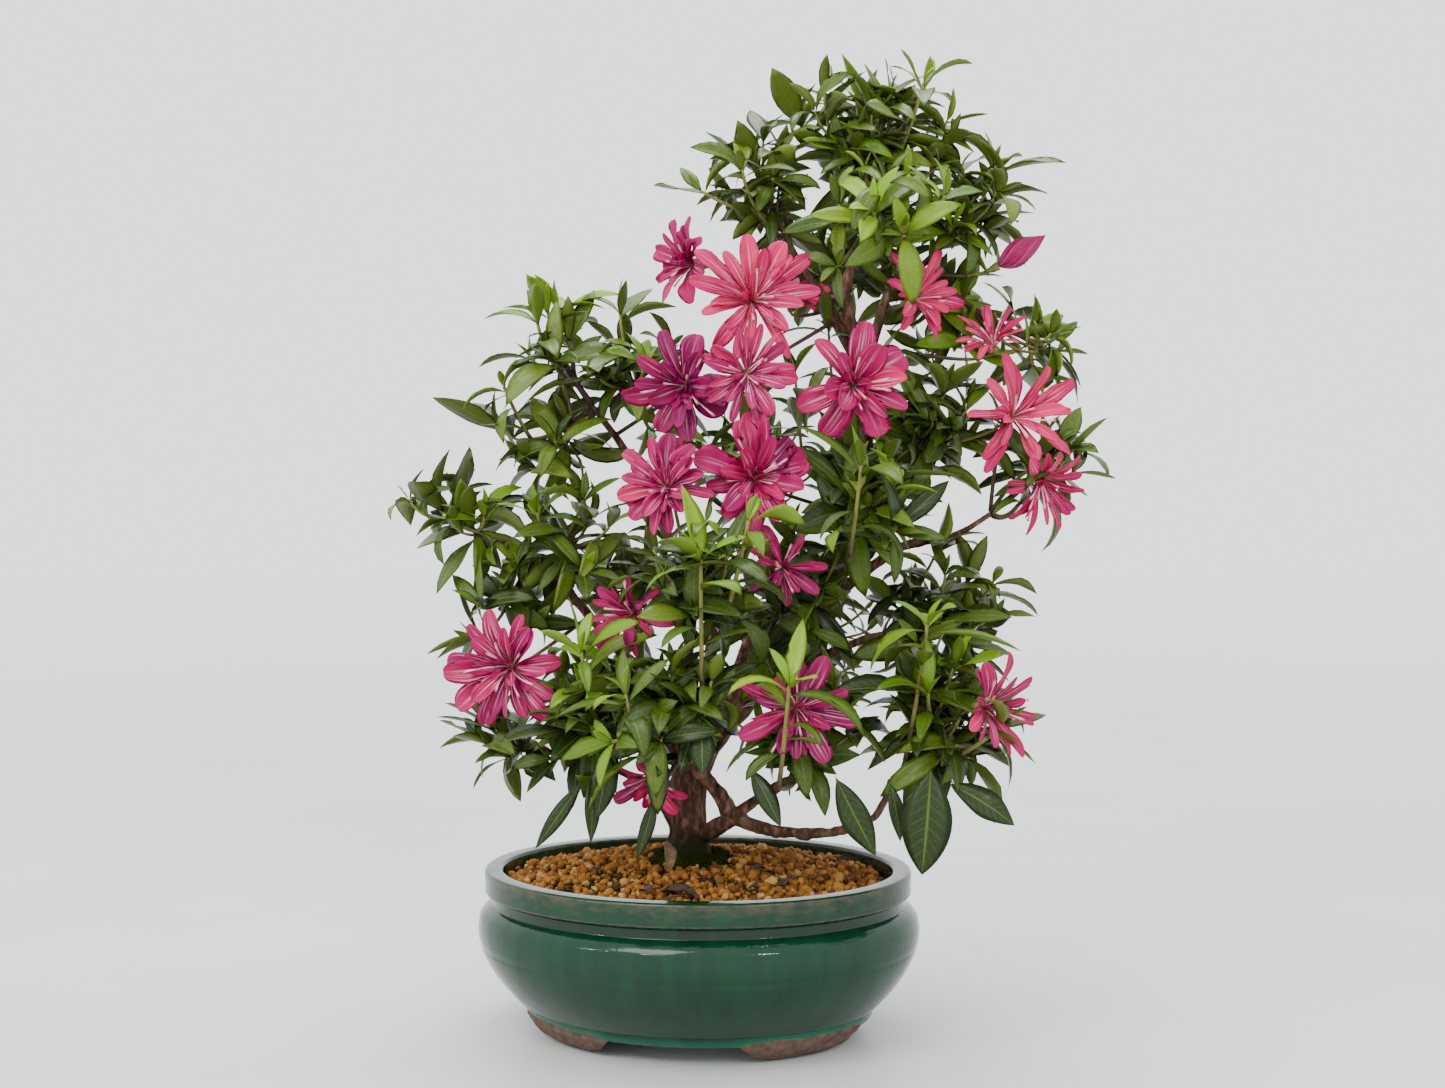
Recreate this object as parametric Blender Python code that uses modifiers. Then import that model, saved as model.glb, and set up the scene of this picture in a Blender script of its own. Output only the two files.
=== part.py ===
"""An azalea bonsai in flower, rooted in an oval glazed pot that stands on four feet.

Metres, +Z up, -Y is the front of the pot.  The origin is on the surface that the pot
stands on, below the middle of the whole plant's box.

The pot and what fills it are skins over oval rings.  The trunk and its limbs grew as
one piece of wood, so they are one solid.  Each spray of leaves and each flower is a
plain closed solid of the outer shape that it fills.  Every spray and flower stops at
the planes that separate it from its neighbours, so a change of size never makes two of
them meet.  The tree's plan is drawn on a grid of five millimetres.
"""

import math

import bmesh
import bpy
from mathutils import Matrix, Vector

# ---------------------------------------------------------------- driving sizes

POT_LENGTH = 0.250          # over the rim, along X
POT_DEPTH = 0.200           # over the rim, along Y
POT_HEIGHT = 0.094          # table to the top of the rim
RIM_BAND = 0.013            # height of the band round the rim
RIM_WIDTH = 0.0105          # flat top of the rim, outer edge to inner edge
RIM_EDGE = 0.0012           # rounding of the rim's edges
NECK_INSET = 0.0040         # how far the groove under the rim goes in
NECK_HEIGHT = 0.0055        # height of that groove
BELLY_SWELL = 0.0042        # how far the belly stands out past the rim
WALL = 0.0080               # thickness of the pot's side
FLOOR = 0.0080              # thickness of the pot's floor
FOOT_HEIGHT = 0.0100        # table to the underside of the floor
FOOT_WIDTH = 0.0140         # flat under each foot, outer edge to inner edge
STEP_RISE = 0.0075          # height of the step above the underside
BASE_INSET = 0.0200         # rim's outer edge to the foot of the belly
STEP_WIDTH = 0.0018         # ledge of the step
FOOT_SPLAY = 0.0120         # how far a foot draws in from the step to the table
FRONT_GAP = 0.074           # clear width between the front feet, at its top
SIDE_GAP = 0.044            # clear width between the feet at each end, at its top
GAP_FLARE = 0.0130          # how far a foot's curved end draws back by the table
ARCH_RISE = 0.0015          # top of the gaps above the underside
DRAIN_HOLE = 0.0160         # diameter of each hole in the floor
DRAIN_SPACING = 0.090       # between the two holes' middles

SCREEN_SIZE = 0.034         # side of the square screen over each hole
SCREEN_THICKNESS = 0.0012
WIRE = 0.0015               # diameter of the wire that holds a screen
WIRE_SPAN = 0.0100          # between the wire's two legs
WIRE_TAIL = 0.0120          # length of each leg's bent end

TOP_LAYER = 0.0200          # depth of the grain layer at the pot's edge
SOIL_EDGE_DROP = 0.0095     # rim's top down to the soil at the edge
SOIL_CROWN_RISE = 0.0020    # rim's top up to the soil at the trunk
MOSS_WIDTH = 0.0110         # how far the moss spreads from the trunk
MOSS_HEIGHT = 0.0050
MOSS_LIP = 0.15             # height of the moss's outer edge, as a share of its height
MOSS_SIDES = 20
LEAF_LENGTH = 0.0220        # one fallen leaf
LEAF_WIDTH = 0.0090
LEAF_THICKNESS = 0.0010
LEAF_CURL = 0.12            # rise of its two ends, as a share of its length
LEAF_FOLD = 0.25            # rise of its edges, as a share of its half width
LEAF_SWELL = 0.8            # how full its outline is: 1 is a plain half wave

FRONT_TURN = math.radians(10)   # the tree's best side, turned from the pot's front
CROWN_SPREAD = 0.410        # the crown, side to side
CROWN_HEIGHT = 0.475        # the rim's top to the tip of the tree
DRAWN_SPREAD = 0.410        # the sizes that the tree's plan below is drawn at
DRAWN_HEIGHT = 0.475
ROOT_DEPTH = 0.0260         # how far the trunk's foot reaches under the rim's top
TRUNK_GIRTH = 0.0230        # diameter of the trunk just above its flare
FLOWER_RADIUS = 0.0300      # an open flower of size 1
FLOWER_DEPTH = 0.0180       # its calyx to its petal tips
PETAL_THICKNESS = 0.0016

FIT = 0.0003                # clearance between pieces that touch
FACET_FIT = 0.0005          # the same where two faceted surfaces lie on each other
RING_STEPS = 40             # points round the pot and the soil
SPRAY_SIDES = 12            # points round a spray of leaves
SPRAY_RINGS = 8
SPRAY_BUMP = 0.07           # how far a spray's surface rises and falls, as a share
SPRAY_WAVES = (5, 6)        # swells round a spray, and from its bottom to its top
SPRAY_SHARE = 0.40          # least room that a spray keeps on the way to a flower
WOOD_MARGIN = 1.1           # a rod's thickness as its neighbours keep clear of it, a share
PETAL_LOBES = 8
LOBE_DEPTH = 0.22           # how far the outline goes in between two lobes, as a share
# The petals' back from the calyx out, and their front from the tips in: shares of the
# flower's radius and of its depth.
PETAL_BACK = ((0.22, -0.30), (0.62, 0.14), (1.0, 0.46))
PETAL_FRONT = ((1.0, 0.50), (0.50, 0.24))
BUD_SHAPE = ((0.0, 0.30), (0.25, 0.75), (0.55, 1.0), (0.82, 0.60))  # shares along, wide
BUD_SIDES = 8

# Heights that follow from the sizes above.
UNDERSIDE = FOOT_HEIGHT
FLOOR_TOP = UNDERSIDE + FLOOR
STEP_TOP = UNDERSIDE + STEP_RISE
RIM_LOW = POT_HEIGHT - RIM_BAND
NECK_HIGH = RIM_LOW - RIM_EDGE
NECK_LOW = NECK_HIGH - NECK_HEIGHT
BELLY_SHARE = 0.74          # the belly's widest place, from the step up to the neck
SIDE_POWER = 1.8            # how the side draws in below the widest place
SHOULDER_POWER = 3.5        # how the shoulder turns in above it
FLARE_POWER = 1.7           # how a foot's end curves in from the gap's top to the table
FOOT_CURVE = ((0.45, 0.35), (0.85, 1.0))    # foot's outer side: shares of splay and height
SOIL_EDGE = POT_HEIGHT - SOIL_EDGE_DROP
SOIL_CROWN = POT_HEIGHT + SOIL_CROWN_RISE
LAYER_SPLIT = SOIL_EDGE - TOP_LAYER

# ---------------------------------------------------------------- scene set-up


def clear_scene():
    for obj in list(bpy.data.objects):
        bpy.data.objects.remove(obj, do_unlink=True)


def new_collection(name):
    collection = bpy.data.collections.new(name)
    bpy.context.scene.collection.children.link(collection)
    return collection


def material(name, colour, roughness, metallic=0.0):
    made = bpy.data.materials.new(name)
    made.use_nodes = True
    shader = made.node_tree.nodes["Principled BSDF"]
    shader.inputs["Base Color"].default_value = (*colour, 1.0)
    shader.inputs["Roughness"].default_value = roughness
    shader.inputs["Metallic"].default_value = metallic
    return made


clear_scene()
PARTS = new_collection("azalea_bonsai")
CUTTERS = new_collection("cutters")

GLAZE = material("green_glaze", (0.035, 0.130, 0.085), 0.15)
SCREEN_PLASTIC = material("screen_plastic", (0.04, 0.04, 0.04), 0.6)
CLIP_WIRE = material("clip_wire", (0.55, 0.54, 0.52), 0.35, 1.0)
ROOT_SOIL = material("root_soil", (0.16, 0.09, 0.05), 0.95)
GRAINS = material("akadama_grains", (0.55, 0.27, 0.08), 0.95)
MOSS = material("moss", (0.03, 0.06, 0.02), 1.0)
DRY_LEAF = material("dry_leaf", (0.19, 0.11, 0.06), 0.8)
DARK_LEAF = material("dark_leaf", (0.05, 0.04, 0.03), 0.8)
BARK = material("bark", (0.12, 0.06, 0.04), 0.85)
FOLIAGE = material("foliage", (0.05, 0.14, 0.03), 0.45)
PETALS = material("petals", (0.70, 0.04, 0.25), 0.55)


def empty(name, parent=None):
    made = bpy.data.objects.new(name, None)
    PARTS.objects.link(made)
    made.parent = parent
    return made


STAND = empty("stand")                  # carries everything, set on the origin at the end
TREE = empty("tree_front", STAND)       # the tree's own frame: +X its right, -Y its front
TREE.rotation_euler.z = FRONT_TURN

# ---------------------------------------------------------------- modelling helpers


def add_object(name, mesh, collection, parent, finish=None):
    made = bpy.data.objects.new(name, mesh)
    collection.objects.link(made)
    made.parent = parent
    if finish:
        mesh.materials.append(finish)
    if collection is CUTTERS:
        made.hide_render = True
        made.display_type = "WIRE"
    return made


def mesh_from(bm, name, sharp=math.radians(40)):
    mesh = bpy.data.meshes.new(name)
    bm.to_mesh(mesh)
    bm.free()
    mesh.shade_smooth()
    mesh.set_sharp_from_angle(angle=sharp)
    return mesh


def boolean(obj, other, operation="DIFFERENCE"):
    modifier = obj.modifiers.new(other.name, "BOOLEAN")
    modifier.operation = operation
    modifier.solver = "EXACT"
    modifier.object = other


def oval_ring(inset, height):
    """Points of one ring: an ellipse that keeps the same inset from the rim all round."""
    half_length = POT_LENGTH / 2 - inset
    half_depth = POT_DEPTH / 2 - inset
    turns = [2 * math.pi * step / RING_STEPS for step in range(RING_STEPS)]
    return [Vector((half_length * math.cos(t), half_depth * math.sin(t), height)) for t in turns]


def loft(name, start, rings, end):
    """A closed skin over rings of equal count, each end gathered to one point."""
    bm = bmesh.new()
    loops = [[bm.verts.new(point) for point in ring] for ring in rings]
    count = len(loops[0])
    for low, high in zip(loops, loops[1:]):
        for i in range(count):
            j = (i + 1) % count
            bm.faces.new((low[i], low[j], high[j], high[i]))
    for tip, loop in ((start, loops[0]), (end, loops[-1])):
        middle = bm.verts.new(tip)
        for i in range(count):
            bm.faces.new((loop[i], loop[(i + 1) % count], middle))
    bmesh.ops.recalc_face_normals(bm, faces=bm.faces)
    return mesh_from(bm, name)


def curve_to_mesh(curve_object, name, collection, parent, finish=None):
    """The curve's evaluated shape as a mesh object with its caps welded on."""
    bpy.context.view_layer.update()
    evaluated = curve_object.evaluated_get(bpy.context.evaluated_depsgraph_get())
    mesh = bpy.data.meshes.new_from_object(evaluated)
    bm = bmesh.new()
    bm.from_mesh(mesh)
    bmesh.ops.remove_doubles(bm, verts=bm.verts, dist=1e-6)
    bmesh.ops.transform(bm, matrix=curve_object.matrix_world, verts=bm.verts)
    bmesh.ops.recalc_face_normals(bm, faces=bm.faces)
    bpy.data.objects.remove(curve_object, do_unlink=True)
    bpy.data.meshes.remove(mesh)
    return add_object(name, mesh_from(bm, name), collection, parent, finish)


def tube(name, points, radii, collection, parent, finish=None, roundness=1):
    """A rod of changing thickness along the points; it has 4 + 2 * roundness sides."""
    curve = bpy.data.curves.new(name, "CURVE")
    curve.dimensions = "3D"
    curve.bevel_depth = 1.0
    curve.bevel_resolution = roundness
    curve.use_fill_caps = True
    spline = curve.splines.new("POLY")
    spline.points.add(len(points) - 1)
    for place, point, radius in zip(spline.points, points, radii):
        place.co = (*point, 1.0)
        place.radius = radius
    holder = bpy.data.objects.new(name, curve)
    bpy.context.scene.collection.objects.link(holder)
    return curve_to_mesh(holder, name, collection, parent, finish)


def prism(name, outline, half_length, turn, parent):
    """A cutter of the outline's shape, long along its own Z, then turned into place."""
    curve = bpy.data.curves.new(name, "CURVE")
    curve.dimensions = "2D"
    curve.fill_mode = "BOTH"
    curve.extrude = half_length
    spline = curve.splines.new("POLY")
    spline.points.add(len(outline) - 1)
    for place, (across, up) in zip(spline.points, outline):
        place.co = (across, up, 0.0, 1.0)
    spline.use_cyclic_u = True
    holder = bpy.data.objects.new(name, curve)
    bpy.context.scene.collection.objects.link(holder)
    holder.matrix_world = turn
    return curve_to_mesh(holder, name, CUTTERS, parent)


def box(name, size, place, collection, parent, finish=None):
    bm = bmesh.new()
    bmesh.ops.create_cube(bm, size=1.0)
    bmesh.ops.scale(bm, vec=size, verts=bm.verts)
    made = add_object(name, mesh_from(bm, name), collection, parent, finish)
    made.location = place
    return made


def cylinder(name, radius, low, high, place, parent):
    bm = bmesh.new()
    depth = high - low
    bmesh.ops.create_cone(
        bm, cap_ends=True, segments=20, radius1=radius, radius2=radius, depth=depth
    )
    made = add_object(name, mesh_from(bm, name), CUTTERS, parent)
    made.location = (place[0], place[1], (low + high) / 2)
    return made


# ---------------------------------------------------------------- the pot


def belly_inset(height):
    """Inset of the outer side between the step and the neck.

    Below the widest place the side draws in by a power of the depth below it, and
    above it the shoulder turns in by a steeper power.
    """
    widest = STEP_TOP + BELLY_SHARE * (NECK_LOW - STEP_TOP)
    if height <= widest:
        share = (widest - height) / (widest - STEP_TOP)
        return -BELLY_SWELL + (BASE_INSET + BELLY_SWELL) * share**SIDE_POWER
    share = (height - widest) / (NECK_LOW - widest)
    return -BELLY_SWELL + (NECK_INSET + BELLY_SWELL) * share**SHOULDER_POWER


def body_heights(low, high, steps):
    return [low + (high - low) * step / steps for step in range(steps + 1)]


def inner_knots():
    """(height, inset) up the inner side, a wall's thickness in from the outer side."""
    knots = [
        (z, belly_inset(max(z, STEP_TOP)) + WALL)
        for z in body_heights(FLOOR_TOP + WALL / 2, NECK_LOW, 7)
    ]
    return [*knots, (RIM_LOW, NECK_INSET + WALL), (POT_HEIGHT - RIM_EDGE / 2, RIM_WIDTH)]


def wall_inset(height):
    """Inset of the inner side at a height, straight between its knots."""
    knots = inner_knots()
    for (low, inset), (high, next_inset) in zip(knots, knots[1:]):
        if height <= high:
            part = max(height - low, 0.0) / (high - low)
            return inset + (next_inset - inset) * part
    return RIM_WIDTH


def inner_rings(low, high):
    """Rings that fit inside the pot from one height to another, clear of its wall."""
    between = [height for height, _ in inner_knots() if low < height < high]
    return [oval_ring(wall_inset(z) + FACET_FIT, z) for z in (low, *between, high)]


def pot_profile():
    """(inset, height) from the middle of the underside, out, up the outside and in."""
    foot_outer = BASE_INSET + STEP_WIDTH + FOOT_SPLAY
    foot_inner = foot_outer + FOOT_WIDTH
    curve = [(foot_outer - FOOT_SPLAY * out, FOOT_HEIGHT * up) for out, up in FOOT_CURVE]
    outside = [(belly_inset(z), z) for z in body_heights(STEP_TOP, NECK_LOW, 9)]
    inside = [(inset, z) for z, inset in reversed(inner_knots())]
    floor_corner = wall_inset(FLOOR_TOP) + WALL / 3
    return [
        (foot_inner, UNDERSIDE),
        (foot_inner, 0.0),
        (foot_outer, 0.0),
        *curve,
        (BASE_INSET + STEP_WIDTH, STEP_TOP),
        *outside,
        (NECK_INSET, NECK_HIGH),
        (RIM_EDGE, RIM_LOW),
        (0.0, RIM_LOW + RIM_EDGE),
        (0.0, POT_HEIGHT - RIM_EDGE),
        (RIM_EDGE, POT_HEIGHT),
        *inside,
        (floor_corner, FLOOR_TOP),
    ]


def arch_outline(clear_width):
    """Half-round-ended gap: its sides flare towards the table, so the feet curve in."""
    half = clear_width / 2
    top = UNDERSIDE + ARCH_RISE
    below = -FOOT_HEIGHT / 2
    right = []
    for step in range(6):
        share = step / 5
        right.append((half + GAP_FLARE * share**FLARE_POWER, top * (1 - share)))
    right.append((half + GAP_FLARE, below))
    left = [(-across, up) for across, up in reversed(right)]
    return right + left


def make_pot():
    rings = [oval_ring(inset, height) for inset, height in pot_profile()]
    mesh = loft("pot", (0, 0, UNDERSIDE), rings, (0, 0, FLOOR_TOP))
    pot = add_object("pot", mesh, PARTS, STAND, GLAZE)
    upright = Matrix.Rotation(math.pi / 2, 4, "X")
    sideways = Matrix.Rotation(math.pi / 2, 4, "Z") @ upright
    reach = max(POT_LENGTH, POT_DEPTH)
    boolean(pot, prism("front_gap", arch_outline(FRONT_GAP), reach, upright, STAND))
    boolean(pot, prism("side_gap", arch_outline(SIDE_GAP), reach, sideways, STAND))
    for side, x in DRAIN_PLACES:
        hole = cylinder(
            f"drain_hole_{side}", DRAIN_HOLE / 2, 0.0, FLOOR_TOP + FLOOR, (x, 0), STAND
        )
        boolean(pot, hole)
    return pot


DRAIN_PLACES = (("left", -DRAIN_SPACING / 2), ("right", DRAIN_SPACING / 2))

# ---------------------------------------------------------------- drain screens and their wires

SCREEN_LOW = FLOOR_TOP + FIT
SCREEN_TOP = SCREEN_LOW + SCREEN_THICKNESS
WIRE_BAR = SCREEN_TOP + FIT + WIRE / 2      # the wire's middle where it crosses the screen
WIRE_END = UNDERSIDE - FIT - WIRE / 2       # and where its ends lie under the floor


def make_screen(side, x):
    size = (SCREEN_SIZE, SCREEN_SIZE, SCREEN_THICKNESS)
    middle = (x, 0, SCREEN_LOW + SCREEN_THICKNESS / 2)
    screen = box(f"drain_screen_{side}", size, middle, PARTS, STAND, SCREEN_PLASTIC)
    for leg, along in (("a", -WIRE_SPAN / 2), ("b", WIRE_SPAN / 2)):
        hole = cylinder(
            f"wire_hole_{side}_{leg}",
            WIRE / 2 + FIT,
            SCREEN_LOW - SCREEN_THICKNESS,
            SCREEN_TOP + SCREEN_THICKNESS,
            (x, along),
            STAND,
        )
        boolean(screen, hole)


def make_clip(side, x):
    """A staple of wire: over the screen, down through the hole, its ends bent outwards."""
    half = WIRE_SPAN / 2
    points = [
        (x, -half - WIRE_TAIL, WIRE_END),
        (x, -half - WIRE, WIRE_END),
        (x, -half, WIRE_END + WIRE),
        (x, -half, WIRE_BAR - WIRE / 2),
        (x, -half + WIRE / 2, WIRE_BAR),
        (x, half - WIRE / 2, WIRE_BAR),
        (x, half, WIRE_BAR - WIRE / 2),
        (x, half, WIRE_END + WIRE),
        (x, half + WIRE, WIRE_END),
        (x, half + WIRE_TAIL, WIRE_END),
    ]
    radii = [WIRE / 2] * len(points)
    tube(f"screen_wire_{side}", points, radii, PARTS, STAND, CLIP_WIRE)


# ---------------------------------------------------------------- the soil


SOIL_SHARES = (0.30, 0.55, 0.80, 1.0)   # rings of the soil's top, as shares of its width
SOIL_SHAPE = (1.0, 0.74, 0.36, 0.0)     # how much of the mound's rise is left at each


def soil_half_sizes():
    inset = wall_inset(SOIL_EDGE) + FACET_FIT
    return POT_LENGTH / 2 - inset, POT_DEPTH / 2 - inset


def soil_top(x, y):
    """Height of the mound at a place in the pot's frame."""
    half_length, half_depth = soil_half_sizes()
    share = math.hypot(x / half_length, y / half_depth)
    rise = SOIL_CROWN - SOIL_EDGE
    shares = (0.0, *SOIL_SHARES)
    shape = (1.0, *SOIL_SHAPE)
    for i in range(len(shares) - 1):
        if share <= shares[i + 1]:
            part = (share - shares[i]) / (shares[i + 1] - shares[i])
            return SOIL_EDGE + rise * (shape[i] + (shape[i + 1] - shape[i]) * part)
    return SOIL_EDGE


def make_soil(trunk_clearance):
    low_rings = [oval_ring(wall_inset(FLOOR_TOP) + WALL, FLOOR_TOP + FIT)]
    low_rings.extend(inner_rings(FLOOR_TOP + WALL / 2, LAYER_SPLIT - FIT))
    mesh = loft(
        "root_soil", (0, 0, FLOOR_TOP + FIT), low_rings, (0, 0, LAYER_SPLIT - FIT)
    )
    lower = add_object("root_zone_soil", mesh, PARTS, STAND, ROOT_SOIL)
    boolean(lower, trunk_clearance)
    pocket_height = WIRE_BAR + WIRE / 2 + FIT - FLOOR_TOP
    for side, x in DRAIN_PLACES:
        size = (SCREEN_SIZE + 2 * FIT, SCREEN_SIZE + 2 * FIT, 2 * pocket_height)
        pocket = box(f"screen_pocket_{side}", size, (x, 0, FLOOR_TOP), CUTTERS, STAND)
        boolean(lower, pocket)

    top_rings = inner_rings(LAYER_SPLIT, SOIL_EDGE)
    half_length, half_depth = soil_half_sizes()
    rise = SOIL_CROWN - SOIL_EDGE
    for share, shape in zip(reversed(SOIL_SHARES[:-1]), reversed(SOIL_SHAPE[:-1])):
        height = SOIL_EDGE + rise * shape
        flat = oval_ring(0.0, height)
        stretch_x = half_length * share / (POT_LENGTH / 2)
        stretch_y = half_depth * share / (POT_DEPTH / 2)
        top_rings.append([Vector((p.x * stretch_x, p.y * stretch_y, p.z)) for p in flat])
    mesh = loft("top_grains", (0, 0, LAYER_SPLIT), top_rings, (0, 0, SOIL_CROWN))
    upper = add_object("akadama_top_layer", mesh, PARTS, STAND, GRAINS)
    boolean(upper, trunk_clearance)


# ---------------------------------------------------------------- the tree's plan


def crown_stretch():
    """How far the crown is stretched from its plan: across, deep and high."""
    across = CROWN_SPREAD / DRAWN_SPREAD
    return across, across, CROWN_HEIGHT / DRAWN_HEIGHT


def plan(x, y, z):
    """A place in the tree's frame; z is measured up from the rim's top."""
    across, _, up = crown_stretch()
    return Vector((x * across, y * across, POT_HEIGHT + z * up))


def smooth_route(points, steps):
    """Catmull-Rom curve through the points, with the given steps between each two."""
    ends = [2 * points[0] - points[1], *points, 2 * points[-1] - points[-2]]
    route = []
    for a, b, c, d in zip(ends, ends[1:], ends[2:], ends[3:]):
        for step in range(steps):
            t = step / steps
            route.append(
                0.5
                * (
                    2 * b
                    + (c - a) * t
                    + (2 * a - 5 * b + 4 * c - d) * t**2
                    + (3 * b - a - 3 * c + d) * t**3
                )
            )
    route.append(points[-1])
    return route


# Each rod of wood: its name, the rod it springs from and how far along it (0 to 1), the
# thickness at its root and tip as shares of the trunk's, and its route through the crown.
TRUNK_ROUTE = (
    (-0.005, 0.000, 0.005),
    (-0.005, 0.000, 0.020),
    (-0.005, 0.005, 0.045),
    (0.005, 0.010, 0.070),
    (0.030, 0.010, 0.100),
    (0.055, 0.015, 0.130),
    (0.080, 0.015, 0.165),
    (0.095, 0.010, 0.210),
    (0.100, 0.010, 0.255),
    (0.095, 0.010, 0.310),
)
TRUNK_TAPER = (1.30, 1.00, 0.96, 0.92, 0.86, 0.80, 0.74, 0.66, 0.56, 0.46)
ROOT_SPREAD = 1.34          # thickness of the trunk's foot under the soil, as a share
LIMBS = (
    (
        "front_limb", "trunk", 0.17, 0.56, 0.20,
        ((0.020, -0.020, 0.030), (0.010, -0.030, 0.050), (-0.005, -0.040, 0.075),
         (-0.005, -0.045, 0.110), (0.000, -0.040, 0.150)),
    ),
    (
        "low_right_limb", "front_limb", 0.22, 0.36, 0.18,
        ((0.045, -0.030, 0.025), (0.075, -0.035, 0.025), (0.100, -0.045, 0.035),
         (0.110, -0.040, 0.055)),
    ),
    (
        "low_middle_limb", "front_limb", 0.22, 0.32, 0.16,
        ((0.040, -0.025, 0.045), (0.060, -0.035, 0.060)),
    ),
    (
        "low_left_limb", "trunk", 0.13, 0.30, 0.15,
        ((-0.030, -0.005, 0.050), (-0.060, -0.010, 0.060), (-0.090, -0.010, 0.070)),
    ),
    (
        "left_limb", "trunk", 0.26, 0.44, 0.18,
        ((-0.020, 0.010, 0.095), (-0.050, 0.015, 0.130), (-0.080, 0.010, 0.165),
         (-0.115, 0.005, 0.190)),
    ),
    (
        "upper_left_limb", "trunk", 0.37, 0.44, 0.18,
        ((0.010, 0.025, 0.140), (-0.015, 0.025, 0.190), (-0.035, 0.020, 0.235),
         (-0.060, 0.010, 0.270)),
    ),
    (
        "back_limb", "trunk", 0.42, 0.42, 0.20,
        ((0.035, 0.040, 0.140), (0.025, 0.050, 0.190)),
    ),
    (
        "right_low_limb", "trunk", 0.50, 0.34, 0.18,
        ((0.095, 0.000, 0.130), (0.110, -0.005, 0.135)),
    ),
    (
        "right_limb", "trunk", 0.62, 0.38, 0.16,
        ((0.120, 0.015, 0.185), (0.150, 0.010, 0.190), (0.175, 0.005, 0.205)),
    ),
    (
        "crown_left_limb", "trunk", 0.98, 0.40, 0.18,
        ((0.075, 0.005, 0.335), (0.060, 0.000, 0.355)),
    ),
    (
        "crown_right_limb", "trunk", 0.94, 0.38, 0.18,
        ((0.115, 0.010, 0.335), (0.135, 0.010, 0.350)),
    ),
    (
        "leader", "trunk", 1.00, 0.40, 0.22,
        ((0.090, 0.010, 0.335), (0.095, 0.010, 0.355), (0.100, 0.010, 0.370)),
    ),
)

# Each spray of leaves: its name, its middle and its half sizes across, deep and high.
SPRAYS = (
    ("apex", (0.105, 0.000, 0.430), (0.055, 0.050, 0.045)),
    ("apex_left", (0.040, 0.000, 0.405), (0.040, 0.035, 0.035)),
    ("crown_front", (0.100, -0.045, 0.370), (0.045, 0.035, 0.030)),
    ("crown_right", (0.170, 0.005, 0.385), (0.040, 0.040, 0.040)),
    ("crown_back", (0.095, 0.060, 0.360), (0.055, 0.040, 0.045)),
    ("right_shoulder", (0.150, 0.015, 0.320), (0.040, 0.040, 0.035)),
    ("right_upper", (0.205, 0.000, 0.300), (0.030, 0.030, 0.025)),
    ("right_middle", (0.150, -0.010, 0.250), (0.040, 0.040, 0.035)),
    ("right_outer", (0.210, 0.000, 0.235), (0.030, 0.030, 0.025)),
    ("centre_front", (0.100, -0.045, 0.210), (0.040, 0.035, 0.040)),
    ("right_low_middle", (0.145, 0.005, 0.145), (0.040, 0.045, 0.040)),
    ("right_low_front", (0.140, -0.055, 0.095), (0.050, 0.035, 0.035)),
    ("centre_low", (0.060, -0.025, 0.160), (0.035, 0.035, 0.035)),
    ("front_high", (0.005, -0.075, 0.170), (0.050, 0.035, 0.035)),
    ("front_low", (-0.010, -0.075, 0.100), (0.050, 0.035, 0.035)),
    ("front_right_low", (0.060, -0.060, 0.090), (0.035, 0.030, 0.035)),
    ("left_low", (-0.060, -0.040, 0.095), (0.040, 0.035, 0.040)),
    ("left_low_tip", (-0.115, -0.010, 0.075), (0.030, 0.030, 0.025)),
    ("left_lower", (-0.115, -0.010, 0.150), (0.035, 0.035, 0.030)),
    ("left_middle", (-0.070, -0.010, 0.195), (0.040, 0.040, 0.030)),
    ("far_left", (-0.140, 0.000, 0.205), (0.035, 0.025, 0.020)),
    ("left_upper", (-0.090, 0.005, 0.240), (0.035, 0.035, 0.035)),
    ("left_high", (-0.080, 0.000, 0.300), (0.030, 0.030, 0.040)),
    ("inner_left", (-0.030, 0.005, 0.290), (0.035, 0.035, 0.040)),
    ("back_middle", (0.040, 0.080, 0.245), (0.055, 0.040, 0.050)),
    ("back_low", (0.075, 0.080, 0.130), (0.050, 0.040, 0.045)),
    ("back_left", (-0.040, 0.075, 0.160), (0.050, 0.040, 0.050)),
)

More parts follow.
